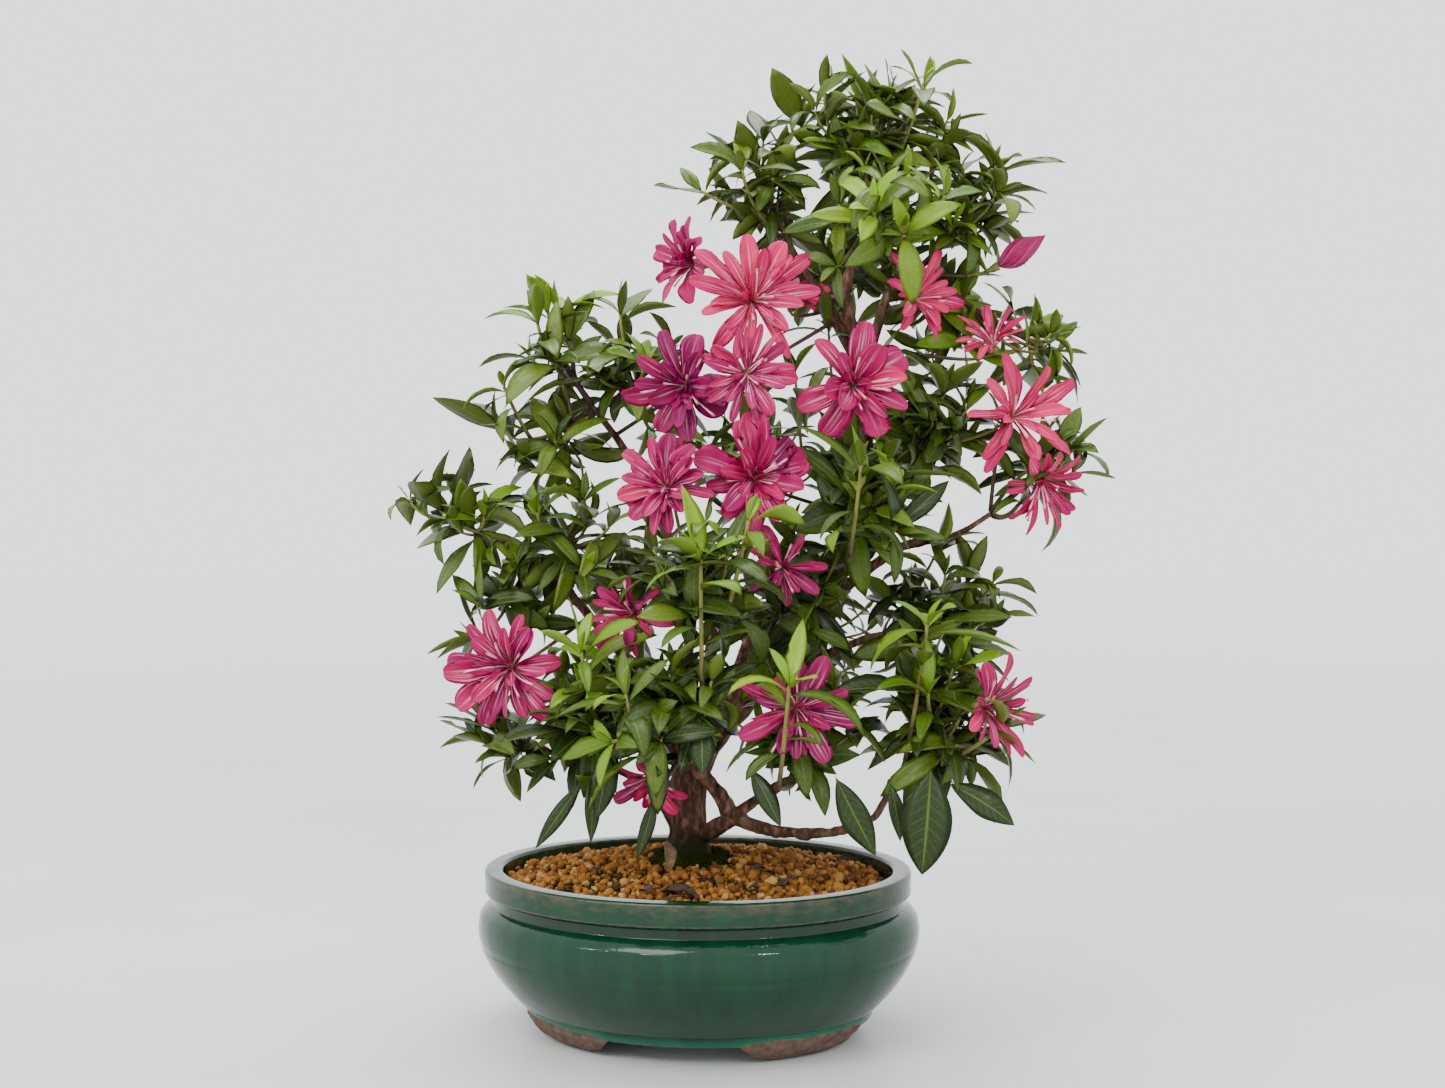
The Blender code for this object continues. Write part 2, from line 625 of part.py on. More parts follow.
# Each flower: its name, its heart, the way it faces, and its size.
FLOWERS = (
    ("crown_left_side", (-0.005, -0.020, 0.350), (-0.8, -0.6, 0.1), 0.80),
    ("crown_left", (0.035, -0.045, 0.325), (0.1, -1.0, 0.1), 1.15),
    ("centre_left", (-0.005, -0.050, 0.275), (-0.3, -0.9, -0.2), 1.00),
    ("centre_top", (0.030, -0.070, 0.280), (0.0, -1.0, -0.1), 0.90),
    ("centre_right", (0.090, -0.060, 0.275), (0.1, -1.0, 0.0), 1.05),
    ("lower_left", (-0.015, -0.075, 0.220), (-0.2, -1.0, 0.2), 0.90),
    ("lower_right", (0.035, -0.070, 0.225), (0.2, -1.0, 0.1), 1.05),
    ("crown_behind", (0.065, 0.005, 0.335), (0.0, -0.6, 0.8), 0.85),
    ("crown_right", (0.130, -0.020, 0.330), (0.4, -0.8, 0.2), 0.90),
    ("shoulder_thin", (0.170, -0.030, 0.305), (-0.2, -0.7, 0.7), 0.75),
    ("right_open", (0.185, -0.030, 0.260), (0.2, -1.0, 0.1), 1.10),
    ("right_hanging", (0.200, -0.025, 0.220), (0.2, -0.8, -0.6), 0.90),
    ("low_left", (-0.105, -0.050, 0.120), (-0.3, -1.0, 0.0), 1.10),
    ("low_centre", (0.055, -0.095, 0.100), (0.0, -1.0, -0.1), 1.00),
    ("low_right", (0.160, -0.085, 0.100), (0.5, -0.8, 0.0), 0.90),
    ("inner_left", (-0.035, -0.060, 0.150), (-0.3, -1.0, 0.0), 0.80),
    ("inner_centre", (0.050, -0.060, 0.175), (0.1, -1.0, 0.0), 0.75),
    ("by_trunk", (-0.025, -0.040, 0.055), (-0.2, -0.8, -0.5), 0.70),
)
BUD = ("flower_bud", (0.180, -0.005, 0.350), (0.8, -0.2, 0.5), 0.030, 0.0075)

# ---------------------------------------------------------------- wood


def rod_at(route, share):
    place = share * (len(route) - 1)
    index = min(int(place), len(route) - 2)
    return route[index].lerp(route[index + 1], place - index)


def trunk_rod(extra):
    """Route and radii of the trunk, thickened all over by a clearance."""
    route = [plan(*point) for point in TRUNK_ROUTE]
    foot = Vector((route[0].x, route[0].y, POT_HEIGHT - ROOT_DEPTH))
    points = smooth_route([foot, *route], 2)
    knots = (ROOT_SPREAD, *TRUNK_TAPER)
    radii = []
    for i in range(len(points)):
        low = min(i // 2, len(knots) - 2)
        share = i / 2 - low
        radii.append(TRUNK_GIRTH / 2 * (knots[low] * (1 - share) + knots[low + 1] * share))
    return points, [radius + extra for radius in radii]


def make_wood():
    """Trunk and limbs as one solid; returns the route and radii of every rod."""
    routes = {}
    points, radii = trunk_rod(0.0)
    routes["trunk"] = (points, radii)
    wood = tube("trunk_and_limbs", points, radii, PARTS, TREE, BARK, roundness=3)
    for name, parent, share, thick, thin, stations in LIMBS:
        start = rod_at(routes[parent][0], share)
        route = smooth_route([start] + [plan(*station) for station in stations], 2)
        last = len(route) - 1
        thickness = [
            TRUNK_GIRTH / 2 * (thick + (thin - thick) * i / last) for i in range(len(route))
        ]
        routes[name] = (route, thickness)
        limb = tube(name, route, thickness, CUTTERS, TREE)
        boolean(wood, limb, "UNION")
    return routes


# ---------------------------------------------------------------- sprays and flowers

# A plane that a piece keeps behind is (direction, offset): the piece's points p all have
# p . direction <= offset.


def plane_to_ball(middle, ball, radius):
    towards = (ball - middle).normalized()
    return towards, ball.dot(towards) - radius - FIT


def plane_between(middle, half, other, other_half):
    """The plane across the line between two middles, where their sizes share it."""
    towards = (other - middle).normalized()
    share = half / (half + other_half)
    return towards, (middle + (other - middle) * share).dot(towards) - FIT / 2


def keep_clear(points, middle, planes):
    """Draw each point in towards the middle until it is behind every plane."""
    kept = []
    for point in points:
        arm = point - middle
        reach = 1.0
        for towards, offset in planes:
            along = arm.dot(towards)
            room = offset - middle.dot(towards)
            if along > room:
                reach = min(reach, room / along)
        kept.append(middle + arm * reach)
    return kept


def wood_planes(middle, routes):
    """Planes that touch the wood along every rod, as seen from a middle."""
    planes = []
    for route, radii in routes.values():
        for i in range(len(route) - 1):
            reach = max(radii[i], radii[i + 1]) * WOOD_MARGIN
            for share in (0.0, 0.5):
                planes.append(plane_to_ball(middle, route[i].lerp(route[i + 1], share), reach))
        planes.append(plane_to_ball(middle, route[-1], radii[-1] * WOOD_MARGIN))
    return planes


def flower_room(size):
    """Radius of the ball round a flower, and the place of its middle behind its heart."""
    radius = FLOWER_RADIUS * size
    depth = FLOWER_DEPTH * size
    return math.hypot(radius, depth / 2), depth / 2


def bloom_rooms():
    """(heart, axis, depth behind the heart, ball's radius) of each flower and the bud."""
    rooms = {}
    for name, heart, facing, size in FLOWERS:
        ball, depth = flower_room(size)
        rooms[name] = (plan(*heart), Vector(facing).normalized(), depth, ball)
    name, heart, facing, length, radius = BUD
    axis = Vector(facing).normalized()
    rooms[name] = (plan(*heart) + axis * length / 2, axis, length / 2 + radius, length / 2)
    return rooms


def plane_to_bloom(middle, room):
    """The plane that parts a spray from a bloom: the bloom's back, or across its ball.

    The one that leaves the spray more room is taken.  The ball's plane never comes
    nearer to the spray's middle than a share of the way to the bloom.
    """
    heart, axis, depth, ball = room
    to_back = (heart - axis * depth - middle).dot(axis)
    arm = heart - middle
    to_ball = max(arm.length - ball, arm.length * SPRAY_SHARE)
    if to_back > to_ball:
        return axis, (heart - axis * depth).dot(axis)
    towards = arm.normalized()
    return towards, middle.dot(towards) + to_ball


def behind(plane):
    towards, offset = plane
    return towards, offset - FIT / 2


def in_front(plane):
    towards, offset = plane
    return -towards, -offset - FIT / 2


def spray_half_sizes(drawn):
    """A spray's half sizes, stretched with the crown so that sprays stay together."""
    return [size * stretch for size, stretch in zip(drawn, crown_stretch())]


def make_spray(name, place, drawn_sizes, routes, seed):
    """A bumpy ball cut flat where wood, flowers and other sprays begin."""
    middle = plan(*place)
    half_sizes = spray_half_sizes(drawn_sizes)
    half = sum(half_sizes) / 3
    bm = bmesh.new()
    bmesh.ops.create_uvsphere(bm, u_segments=SPRAY_SIDES, v_segments=SPRAY_RINGS, radius=1.0)
    points = []
    phase = 2 * math.pi * seed / len(SPRAYS)
    round_waves, high_waves = SPRAY_WAVES
    for vert in bm.verts:
        way = vert.co
        swell = math.sin(round_waves * math.atan2(way.y, way.x) + phase)
        bump = 1 + SPRAY_BUMP * swell * math.cos(high_waves * way.z + phase)
        stretched = Vector((way[i] * half_sizes[i] * bump for i in range(3)))
        points.append(middle + stretched)
    planes = wood_planes(middle, routes)
    planes.extend(behind(plane_to_bloom(middle, room)) for room in bloom_rooms().values())
    for other_name, other_place, other_sizes in SPRAYS:
        if other_name != name:
            other_half = sum(spray_half_sizes(other_sizes)) / 3
            planes.append(plane_between(middle, half, plan(*other_place), other_half))
    for vert, point in zip(bm.verts, keep_clear(points, middle, planes)):
        vert.co = point - middle
    spray = add_object(f"spray_{name}", mesh_from(bm, name), PARTS, TREE, FOLIAGE)
    spray.location = middle


def flower_profile(size):
    """(radius, height) of the petals' back and front, from calyx to tips and in again."""
    radius = FLOWER_RADIUS * size
    depth = FLOWER_DEPTH * size
    shell = [(radius * r, depth * z) for r, z in PETAL_BACK]
    inside = [(radius * r, depth * z + PETAL_THICKNESS) for r, z in PETAL_FRONT]
    return shell, inside, depth


def make_flower(name, heart, facing, size, routes):
    """A shallow lobed dish, cut flat where its neighbours begin."""
    shell, inside, depth = flower_profile(size)
    steps = 2 * PETAL_LOBES
    rings = []
    for radius, height in shell + inside:
        ring = []
        for step in range(steps):
            turn = 2 * math.pi * step / steps
            notch = LOBE_DEPTH * radius / (FLOWER_RADIUS * size)
            lobe = 1.0 if step % 2 == 0 else 1.0 - notch
            ring.append(
                Vector((radius * lobe * math.cos(turn), radius * lobe * math.sin(turn), height))
            )
        rings.append(ring)
    mesh = loft(name, (0, 0, -depth / 2), rings, (0, 0, 0.0))
    place = plan(*heart)
    axis = Vector(facing).normalized()
    turned = axis.to_track_quat("Z", "Y").to_matrix().to_4x4()
    frame = Matrix.Translation(place) @ turned
    middle = frame @ Vector((0, 0, -depth / 4))
    ball, _ = flower_room(size)
    planes = wood_planes(middle, routes)
    for other_name, other_heart, _, other_size in FLOWERS:
        if other_name != name:
            other_ball, _ = flower_room(other_size)
            planes.append(plane_between(middle, ball, plan(*other_heart), other_ball))
    room = bloom_rooms()[name]
    for _, spray_place, _ in SPRAYS:
        planes.append(in_front(plane_to_bloom(plan(*spray_place), room)))
    back_to_local = frame.inverted()
    points = [frame @ vert.co for vert in mesh.vertices]
    for vert, point in zip(mesh.vertices, keep_clear(points, middle, planes)):
        vert.co = back_to_local @ point
    flower = add_object(f"flower_{name}", mesh, PARTS, TREE, PETALS)
    flower.matrix_basis = frame


def make_bud():
    """A closed bud: rings that swell and draw in to a point."""
    name, heart, facing, length, radius = BUD
    rings = []
    for along, wide in BUD_SHAPE:
        turns = [2 * math.pi * step / BUD_SIDES for step in range(BUD_SIDES)]
        rings.append(
            [
                Vector((radius * wide * math.cos(t), radius * wide * math.sin(t), length * along))
                for t in turns
            ]
        )
    mesh = loft(name, (0, 0, -radius / 4), rings, (0, 0, length))
    bud = add_object(name, mesh, PARTS, TREE, PETALS)
    turned = Vector(facing).normalized().to_track_quat("Z", "Y").to_matrix().to_4x4()
    bud.matrix_basis = Matrix.Translation(plan(*heart)) @ turned


# ---------------------------------------------------------------- on the soil


def to_pot_frame(x, y):
    cosine, sine = math.cos(FRONT_TURN), math.sin(FRONT_TURN)
    return x * cosine - y * sine, x * sine + y * cosine


def soil_under(x, y):
    """Height of the soil's top at a place in the tree's frame."""
    return soil_top(*to_pot_frame(x, y))


def make_moss():
    """A low collar on the soil round the trunk's flare."""
    foot = plan(*TRUNK_ROUTE[0])
    inner = TRUNK_GIRTH / 2 * ROOT_SPREAD + 2 * FACET_FIT
    outer = inner + MOSS_WIDTH
    steps = MOSS_SIDES
    bm = bmesh.new()
    loops = []
    crest = (inner + outer) / 2
    section = ((inner, 0.0), (inner, 1.0), (crest, 0.8), (outer, MOSS_LIP), (outer, 0.0))
    for radius, lift in section:
        loop = []
        for step in range(steps):
            turn = 2 * math.pi * step / steps
            x = foot.x + radius * math.cos(turn)
            y = foot.y + radius * math.sin(turn)
            height = soil_under(x, y) + FACET_FIT + MOSS_HEIGHT * lift
            loop.append(bm.verts.new((x, y, height)))
        loops.append(loop)
    for ring, after in zip(loops, loops[1:] + loops[:1]):
        for i in range(steps):
            j = (i + 1) % steps
            bm.faces.new((ring[i], ring[j], after[j], after[i]))
    bmesh.ops.recalc_face_normals(bm, faces=bm.faces)
    add_object("moss_collar", mesh_from(bm, "moss"), PARTS, TREE, MOSS)


def leaf_blade(name, length, width, curl):
    """An open leaf: pointed at both ends, folded along its rib and curled upwards."""
    bm = bmesh.new()
    steps = 6
    rows = []
    for step in range(1, steps):
        along = step / steps
        half = width / 2 * math.sin(math.pi * along) ** LEAF_SWELL
        lift = curl * length * (2 * along - 1) ** 2
        fold = half * LEAF_FOLD
        x = length * along
        row = [(x, -half, lift + fold), (x, 0.0, lift), (x, half, lift + fold)]
        rows.append([bm.verts.new(point) for point in row])
    base = bm.verts.new((0.0, 0.0, curl * length))
    tip = bm.verts.new((length, 0.0, curl * length))
    for row, after in zip(rows, rows[1:]):
        for i in range(2):
            bm.faces.new((row[i], after[i], after[i + 1], row[i + 1]))
    for i in range(2):
        bm.faces.new((base, rows[0][i], rows[0][i + 1]))
        bm.faces.new((rows[-1][i], tip, rows[-1][i + 1]))
    return mesh_from(bm, name)


def make_fallen_leaf(name, place, heading, tilt, roll, lift, finish):
    mesh = leaf_blade(name, LEAF_LENGTH, LEAF_WIDTH, LEAF_CURL)
    leaf = add_object(name, mesh, PARTS, TREE, finish)
    thick = leaf.modifiers.new("thickness", "SOLIDIFY")
    thick.thickness = LEAF_THICKNESS
    thick.offset = 1.0
    leaf.rotation_euler = (roll, -tilt, heading)
    leaf.location = (place[0], place[1], soil_under(*place) + lift)


# ---------------------------------------------------------------- put together


def parts_box():
    """Lowest and highest corners of all the parts as they stand."""
    bpy.context.view_layer.update()
    graph = bpy.context.evaluated_depsgraph_get()
    corners = []
    for obj in PARTS.objects:
        if obj.type == "MESH":
            shape = obj.evaluated_get(graph)
            mesh = shape.to_mesh()
            corners.extend(shape.matrix_world @ vert.co for vert in mesh.vertices)
            shape.to_mesh_clear()
    low = Vector((min(point[i] for point in corners) for i in range(3)))
    high = Vector((max(point[i] for point in corners) for i in range(3)))
    return low, high


def build():
    make_pot()
    for side, x in DRAIN_PLACES:
        make_screen(side, x)
        make_clip(side, x)
    points, radii = trunk_rod(FACET_FIT)
    trunk_clearance = tube("trunk_clearance", points, radii, CUTTERS, TREE, roundness=3)
    make_soil(trunk_clearance)
    routes = make_wood()
    for seed, (name, place, drawn_sizes) in enumerate(SPRAYS):
        make_spray(name, place, drawn_sizes, routes, seed)
    for name, heart, facing, size in FLOWERS:
        make_flower(name, heart, facing, size, routes)
    make_bud()
    make_moss()
    make_fallen_leaf(
        "dry_leaf", (-0.015, -0.045), math.radians(95), math.radians(52), 0.2, 0.005, DRY_LEAF
    )
    make_fallen_leaf(
        "dark_leaf", (-0.020, -0.065), math.radians(-10), 0.0, 0.0, 0.0015, DARK_LEAF
    )
    low, high = parts_box()
    STAND.location.x -= (low.x + high.x) / 2
    STAND.location.y -= (low.y + high.y) / 2
    bpy.context.view_layer.update()


build()
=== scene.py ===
"""Looks of an azalea bonsai in flower: glazed pot, clay grains, moss, bark, leaves, petals.

Every length is in metres.  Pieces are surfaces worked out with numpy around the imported
model: a grid of two parameters, a profile carried along a path, or many copies of one
small shape placed as whole arrays.
"""

import math

import bpy
import numpy as np
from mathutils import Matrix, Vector
from mathutils.bvhtree import BVHTree


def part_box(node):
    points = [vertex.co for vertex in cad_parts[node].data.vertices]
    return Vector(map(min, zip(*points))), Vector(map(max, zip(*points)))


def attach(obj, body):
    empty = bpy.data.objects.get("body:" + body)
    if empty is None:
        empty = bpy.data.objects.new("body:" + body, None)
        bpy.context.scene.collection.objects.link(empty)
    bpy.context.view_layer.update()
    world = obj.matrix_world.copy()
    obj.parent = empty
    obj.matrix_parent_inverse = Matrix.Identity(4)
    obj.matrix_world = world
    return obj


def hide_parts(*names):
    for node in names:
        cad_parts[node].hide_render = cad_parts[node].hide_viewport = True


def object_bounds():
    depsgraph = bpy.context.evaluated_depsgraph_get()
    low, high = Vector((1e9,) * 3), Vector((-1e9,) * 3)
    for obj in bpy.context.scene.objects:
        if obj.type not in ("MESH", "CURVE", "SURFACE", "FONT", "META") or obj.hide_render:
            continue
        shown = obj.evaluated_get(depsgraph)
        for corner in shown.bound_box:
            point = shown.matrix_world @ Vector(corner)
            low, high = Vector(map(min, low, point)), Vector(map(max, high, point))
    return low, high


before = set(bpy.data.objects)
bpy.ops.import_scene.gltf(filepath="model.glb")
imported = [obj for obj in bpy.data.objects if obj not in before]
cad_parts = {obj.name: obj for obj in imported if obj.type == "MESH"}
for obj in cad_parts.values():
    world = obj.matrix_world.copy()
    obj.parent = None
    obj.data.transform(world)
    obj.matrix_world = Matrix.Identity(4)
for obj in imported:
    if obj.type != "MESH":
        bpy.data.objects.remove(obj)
CAD_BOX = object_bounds()

MM = 0.001
TREE_TURN = math.radians(10)        # the tree's best side, turned from the pot's front
GOLDEN = math.pi * (3 - math.sqrt(5))   # the turn from one leaf to the next round a stem
POT_LOW, POT_HIGH = (np.array(corner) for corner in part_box("pot"))
POT_MIDDLE = (POT_LOW + POT_HIGH) / 2
POT_HEIGHT = POT_HIGH[2] - POT_LOW[2]
SOIL_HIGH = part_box("akadama_top_layer")[1][2]

SEEDS = {                   # of the random draws; flowers and sprays count up from theirs
    "grains": 11, "moss": 23, "dry_leaf": 3, "dark_leaf": 4, "litter": 31, "flowers": 100,
    "tall": 77, "hanging": 78, "sprays": 200,
}

# ---------------------------------------------------------------- arrays and meshes


def unit(vectors):
    """Each vector divided by its length."""
    return vectors / np.maximum(np.linalg.norm(vectors, axis=-1, keepdims=True), 1e-12)


def turned(right, away):
    """A step in the tree's frame as a step in the pot's frame."""
    c, s = math.cos(TREE_TURN), math.sin(TREE_TURN)
    return right * c - away * s, right * s + away * c


def pot_place(right, away):
    """The place at a step in the tree's frame from the pot's middle."""
    x, y = turned(right, away)
    return POT_MIDDLE[0] + x, POT_MIDDLE[1] + y


def tree_place(right, away, up):
    """A place in the tree's frame, measured from the pot's middle and its rim's top."""
    return np.array([*pot_place(right, away), POT_HIGH[2] + up])


def smoothstep(low, high, value):
    """0 below low, 1 above high, and 3t^2 - 2t^3 between."""
    t = np.clip((value - low) / (high - low), 0.0, 1.0)
    return t * t * (3 - 2 * t)


def around(turn, side, other):
    """Directions at angles in the plane of side and other, one for each turn."""
    return np.cos(turn)[:, None] * side + np.sin(turn)[:, None] * other


def square_to(along, face):
    """Each face direction made square to its blade's first direction."""
    return unit(face - along * np.sum(face * along, axis=1, keepdims=True))


def bell(value, middle, width):
    """1 at the middle, falling as e to the minus square of the distance in widths."""
    return np.exp(-(((value - middle) / width) ** 2))


def across_of(ways, upright=0.9):
    """Two directions across each way, square to it and to each other.

    The first is level, except for ways whose upward part is above upright.
    """
    spare = np.where(np.abs(ways[:, 2:]) < upright, [[0, 0, 1.0]], [[1.0, 0, 0]])
    side = unit(np.cross(spare, ways))
    return side, np.cross(ways, side)


def lattice_noise(points, size, seed):
    """Random values on a cubic lattice of the given cell size, blended between corners.

    Each corner's value is the fractional part of a large sine of its indices; the
    blend weight along each axis is the smoothstep of the place inside the cell.
    """
    scaled = points / np.array(size)
    cell = np.floor(scaled)
    part = scaled - cell
    part = part * part * (3 - 2 * part)
    total = np.zeros(points.shape[:-1])
    for corner in range(8):
        step = np.array([corner & 1, corner >> 1 & 1, corner >> 2 & 1])
        index = cell + step
        value = np.sin(index @ np.array([12.9898, 78.233, 37.719]) + seed * 4.1414) * 43758.5453
        value -= np.floor(value)
        weight = np.prod(np.where(step, part, 1 - part), axis=-1)
        total += weight * value
    return total * 2 - 1


def grid_quads(rows, columns, wrap=False):
    """Corner indices of the quads of a row-major grid; wrap joins last column to first."""
    wide = columns if wrap else columns - 1
    i, j = np.meshgrid(np.arange(rows - 1), np.arange(wide), indexing="ij")
    k = (j + 1) % columns
    quads = [i * columns + j, i * columns + k, (i + 1) * columns + k, (i + 1) * columns + j]
    return np.stack(quads, axis=-1).reshape(-1, 4)


def fan(start, count, centre, flip=False):
    """Triangles that close a ring of points, numbered from start, on one centre point."""
    i = np.arange(count)
    j = (i + 1) % count
    i, j = (j, i) if flip else (i, j)
    return np.stack([start + i, start + j, np.full(count, centre)], axis=-1)


def copied(faces, count, size):
    """The same faces for many copies of a shape that has size points."""
    shift = (np.arange(count) * size)[:, None, None]
    return (faces[None] + shift).reshape(-1, faces.shape[1])


def put_thing(name, data):
    """A new object in the scene that holds the data."""
    made = bpy.data.objects.new(name, data)
    bpy.context.scene.collection.objects.link(made)
    return made


def put_mesh(name, points, quads, tris=None, uv=None, values=None, smooth=True):
    """A mesh object from whole arrays: corners, quads, triangles, UVs, point values."""
    points = np.ascontiguousarray(points.reshape(-1, 3), dtype=np.float32)
    tris = np.zeros((0, 3), int) if tris is None else tris
    corners = np.concatenate([quads.ravel(), tris.ravel()]).astype(np.int32)
    sizes = np.concatenate([np.full(len(quads), 4), np.full(len(tris), 3)])
    starts = np.concatenate([[0], np.cumsum(sizes)[:-1]]).astype(np.int32)
    mesh = bpy.data.meshes.new(name)
    mesh.vertices.add(len(points))
    mesh.vertices.foreach_set("co", points.ravel())
    mesh.loops.add(len(corners))
    mesh.loops.foreach_set("vertex_index", corners)
    mesh.polygons.add(len(sizes))
    mesh.polygons.foreach_set("loop_start", starts)
    mesh.update(calc_edges=True)
    if uv is not None:
        layer = mesh.uv_layers.new(name="UVMap")
        flat = np.ascontiguousarray(uv.reshape(-1, 2)[corners], dtype=np.float32)
        layer.data.foreach_set("uv", flat.ravel())
    for key, value in (values or {}).items():
        field = mesh.attributes.new(key, "FLOAT", "POINT")
        field.data.foreach_set("value", np.ascontiguousarray(value, np.float32).ravel())
    if smooth:
        mesh.shade_smooth()
    return put_thing(name, mesh)


def coat(thing, finish):
    """Gives an object one finish and leaves its shape alone."""
    thing.data.materials.clear()
    thing.data.materials.append(finish)


def dress(piece, finish, slot, *nodes):
    """Gives a piece its finish and its body, and hides what it replaces; its slot argument is not
    used.
    """
    coat(piece, finish)
    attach(piece, "root")
    if nodes:
        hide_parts(*nodes)
    return piece


def node_points(node):
    """A CAD node's points as an array."""
    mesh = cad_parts[node].data
    points = np.empty(len(mesh.vertices) * 3, np.float32)
    mesh.vertices.foreach_get("co", points)
    return points.reshape(-1, 3).astype(float)


def node_tree(node):
    """Search tree over a CAD node's triangles."""
    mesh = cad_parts[node].data
    faces = [tuple(face.vertices) for face in mesh.polygons]
    return BVHTree.FromPolygons([tuple(point) for point in node_points(node)], faces)


def node_box(node):
    """(middle, half size) of a CAD node's box."""
    low, high = (np.array(corner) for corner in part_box(node))
    return (low + high) / 2, (high - low) / 2


def node_axes(node):
    """A CAD node's points from their middle, the middle, and its axes, longest first."""
    cloud = node_points(node)
    middle = cloud.mean(axis=0)
    _, _, axes = np.linalg.svd(cloud - middle, full_matrices=False)
    return cloud - middle, middle, axes


# ---------------------------------------------------------------- rods and blades


def rods(paths, radii, sides=6):
    """Round rods along many paths of equal count, each closed by a fan at both ends.

    At each point of a path the ring is the circle of the local radius, across the
    tangent; the ring's axes are the cross products of the tangent with the world axis
    that the path's chord follows least.
    """
    count, steps, _ = paths.shape
    tangent = unit(np.gradient(paths, axis=1))
    chord = np.abs(unit(paths[:, -1] - paths[:, 0]))
    spare = np.eye(3)[np.argmin(chord, axis=1)][:, None, :]
    across = unit(np.cross(tangent, spare))
    over = np.cross(across, tangent)
    turn = np.arange(sides) * 2 * math.pi / sides
    ring = (
        across[:, :, None, :] * np.cos(turn)[None, None, :, None]
        - over[:, :, None, :] * np.sin(turn)[None, None, :, None]
    )
    body = paths[:, :, None, :] + ring * radii[:, :, None, None]
    points = np.concatenate(
        [body.reshape(count, -1, 3), paths[:, :1], paths[:, -1:]], axis=1
    )
    size = steps * sides + 2
    quads = grid_quads(steps, sides, wrap=True)
    first = fan(0, sides, size - 2, flip=True)
    tris = np.concatenate([first, fan((steps - 1) * sides, sides, size - 1)])
    share = np.repeat(np.linspace(0, 1, steps), sides)
    along = np.tile(np.concatenate([share, [0.0, 1.0]]), (count, 1))
    quads, tris = copied(quads, count, size), copied(tris, count, size)
    return points.reshape(-1, 3), quads, tris, along.ravel()


def put_rods(name, finish, slot, paths, radii, sides, green):
    """Rods as one piece; green turns the place along a rod into its stored value."""
    points, quads, tris, along = rods(paths, radii, sides)
    dress(put_mesh(name, points, quads, tris, values={"green": green(along)}), finish, slot)


def blade_plan(rows, columns, crowding=1.0):
    """One thin closed blade: (u, v, side) of its points, with its quads and triangles.

    Each row is a flat ring, over the upper face from edge to edge and back under the
    lower one, and a fan closes the foot and the tip.  side is 1 on the upper face, 0 at
    the edges and -1 on the lower face.  A crowding above 1 sets the rows closer together
    towards the tip, for a round end.
    """
    v_top = np.linspace(-1, 1, columns)
    ring_v = np.concatenate([v_top, v_top[-2:0:-1]])
    ring_side = np.sign(np.concatenate([1 - np.abs(v_top), -np.ones(columns - 2)]))
    ring = len(ring_v)
    u = 1 - (1 - np.linspace(0, 1, rows + 2)[1:-1]) ** crowding
    uu = np.concatenate([[0.0], np.repeat(u, ring), [1.0]])
    vv = np.concatenate([[0.0], np.tile(ring_v, rows), [0.0]])
    side = np.concatenate([[0.0], np.tile(ring_side, rows), [0.0]])
    quads = grid_quads(rows, ring, wrap=True)[:, ::-1] + 1
    tip = fan(1 + (rows - 1) * ring, ring, len(uu) - 1, flip=True)
    return uu, vv, side, quads, np.concatenate([fan(1, ring, 0), tip])


def blade_shape(rng, start, curl, fold, cup, ripple, waves, twist, thick):
    """Shape numbers of many blades; the pairs are lows and highs of even draws."""
    count = len(curl)
    return {
        "start": np.full(count, start), "curl": curl, "fold": fold,
        "cup": rng.uniform(*cup, count), "ripple": rng.uniform(*ripple, count),
        "waves": rng.uniform(*waves, count), "phase": rng.uniform(0, 6, count),
        "twist": rng.normal(0, twist, count), "thick": np.full(count, thick),
    }


def blades(plan, outline, foot, along, face, length, width, shape):
    """Many blades at once: leaves or petals.

    The rib of each is an arc whose angle to its first direction is start + curl * u.
    The half width at u is the outline's times the blade's, the section is a fold, a
    cup (v squared) and ripples along the edges, and it turns about the rib by twist * u.
    """
    u, v, side = (part[None, :] for part in plan[:3])
    per = {key: np.asarray(value)[:, None] for key, value in shape.items()}
    length, width = length[:, None], width[:, None]
    curl = per["curl"] + 1e-6
    angle = per["start"] + curl * u
    rib_x = length * (np.sin(angle) - np.sin(per["start"])) / curl
    rib_z = length * (np.cos(per["start"]) - np.cos(angle)) / curl
    half = width * outline(u)
    ripple = per["ripple"] * np.sin(2 * math.pi * per["waves"] * u + per["phase"] + np.sign(v))
    lift = half * (np.abs(v) * np.sin(per["fold"]) + per["cup"] * v**2)
    lift = lift + half * np.abs(v) ** 1.5 * ripple
    across = half * v * np.cos(per["fold"])
    thick = per["thick"] * np.sqrt(np.clip(1 - v**2, 0, 1)) * (0.35 + 0.65 * np.sin(np.pi * u))
    lift = lift + side * thick / 2
    turn = per["twist"] * u
    across, lift = (
        across * np.cos(turn) - lift * np.sin(turn),
        across * np.sin(turn) + lift * np.cos(turn),
    )
    x = rib_x - lift * np.sin(angle)
    z = rib_z + lift * np.cos(angle)
    wide = np.cross(face, along)
    points = (
        foot[:, None]
        + x[..., None] * along[:, None]
        + across[..., None] * wide[:, None]
        + z[..., None] * face[:, None]
    )
    quads, tris = (copied(faces, *x.shape) for faces in plan[3:])
    uv = np.stack([np.broadcast_to(u, x.shape), np.broadcast_to(v / 2 + 0.5, x.shape)], axis=-1)
    return points.reshape(-1, 3), quads, tris, uv.reshape(-1, 2), x.shape[1]


# ---------------------------------------------------------------- finishes


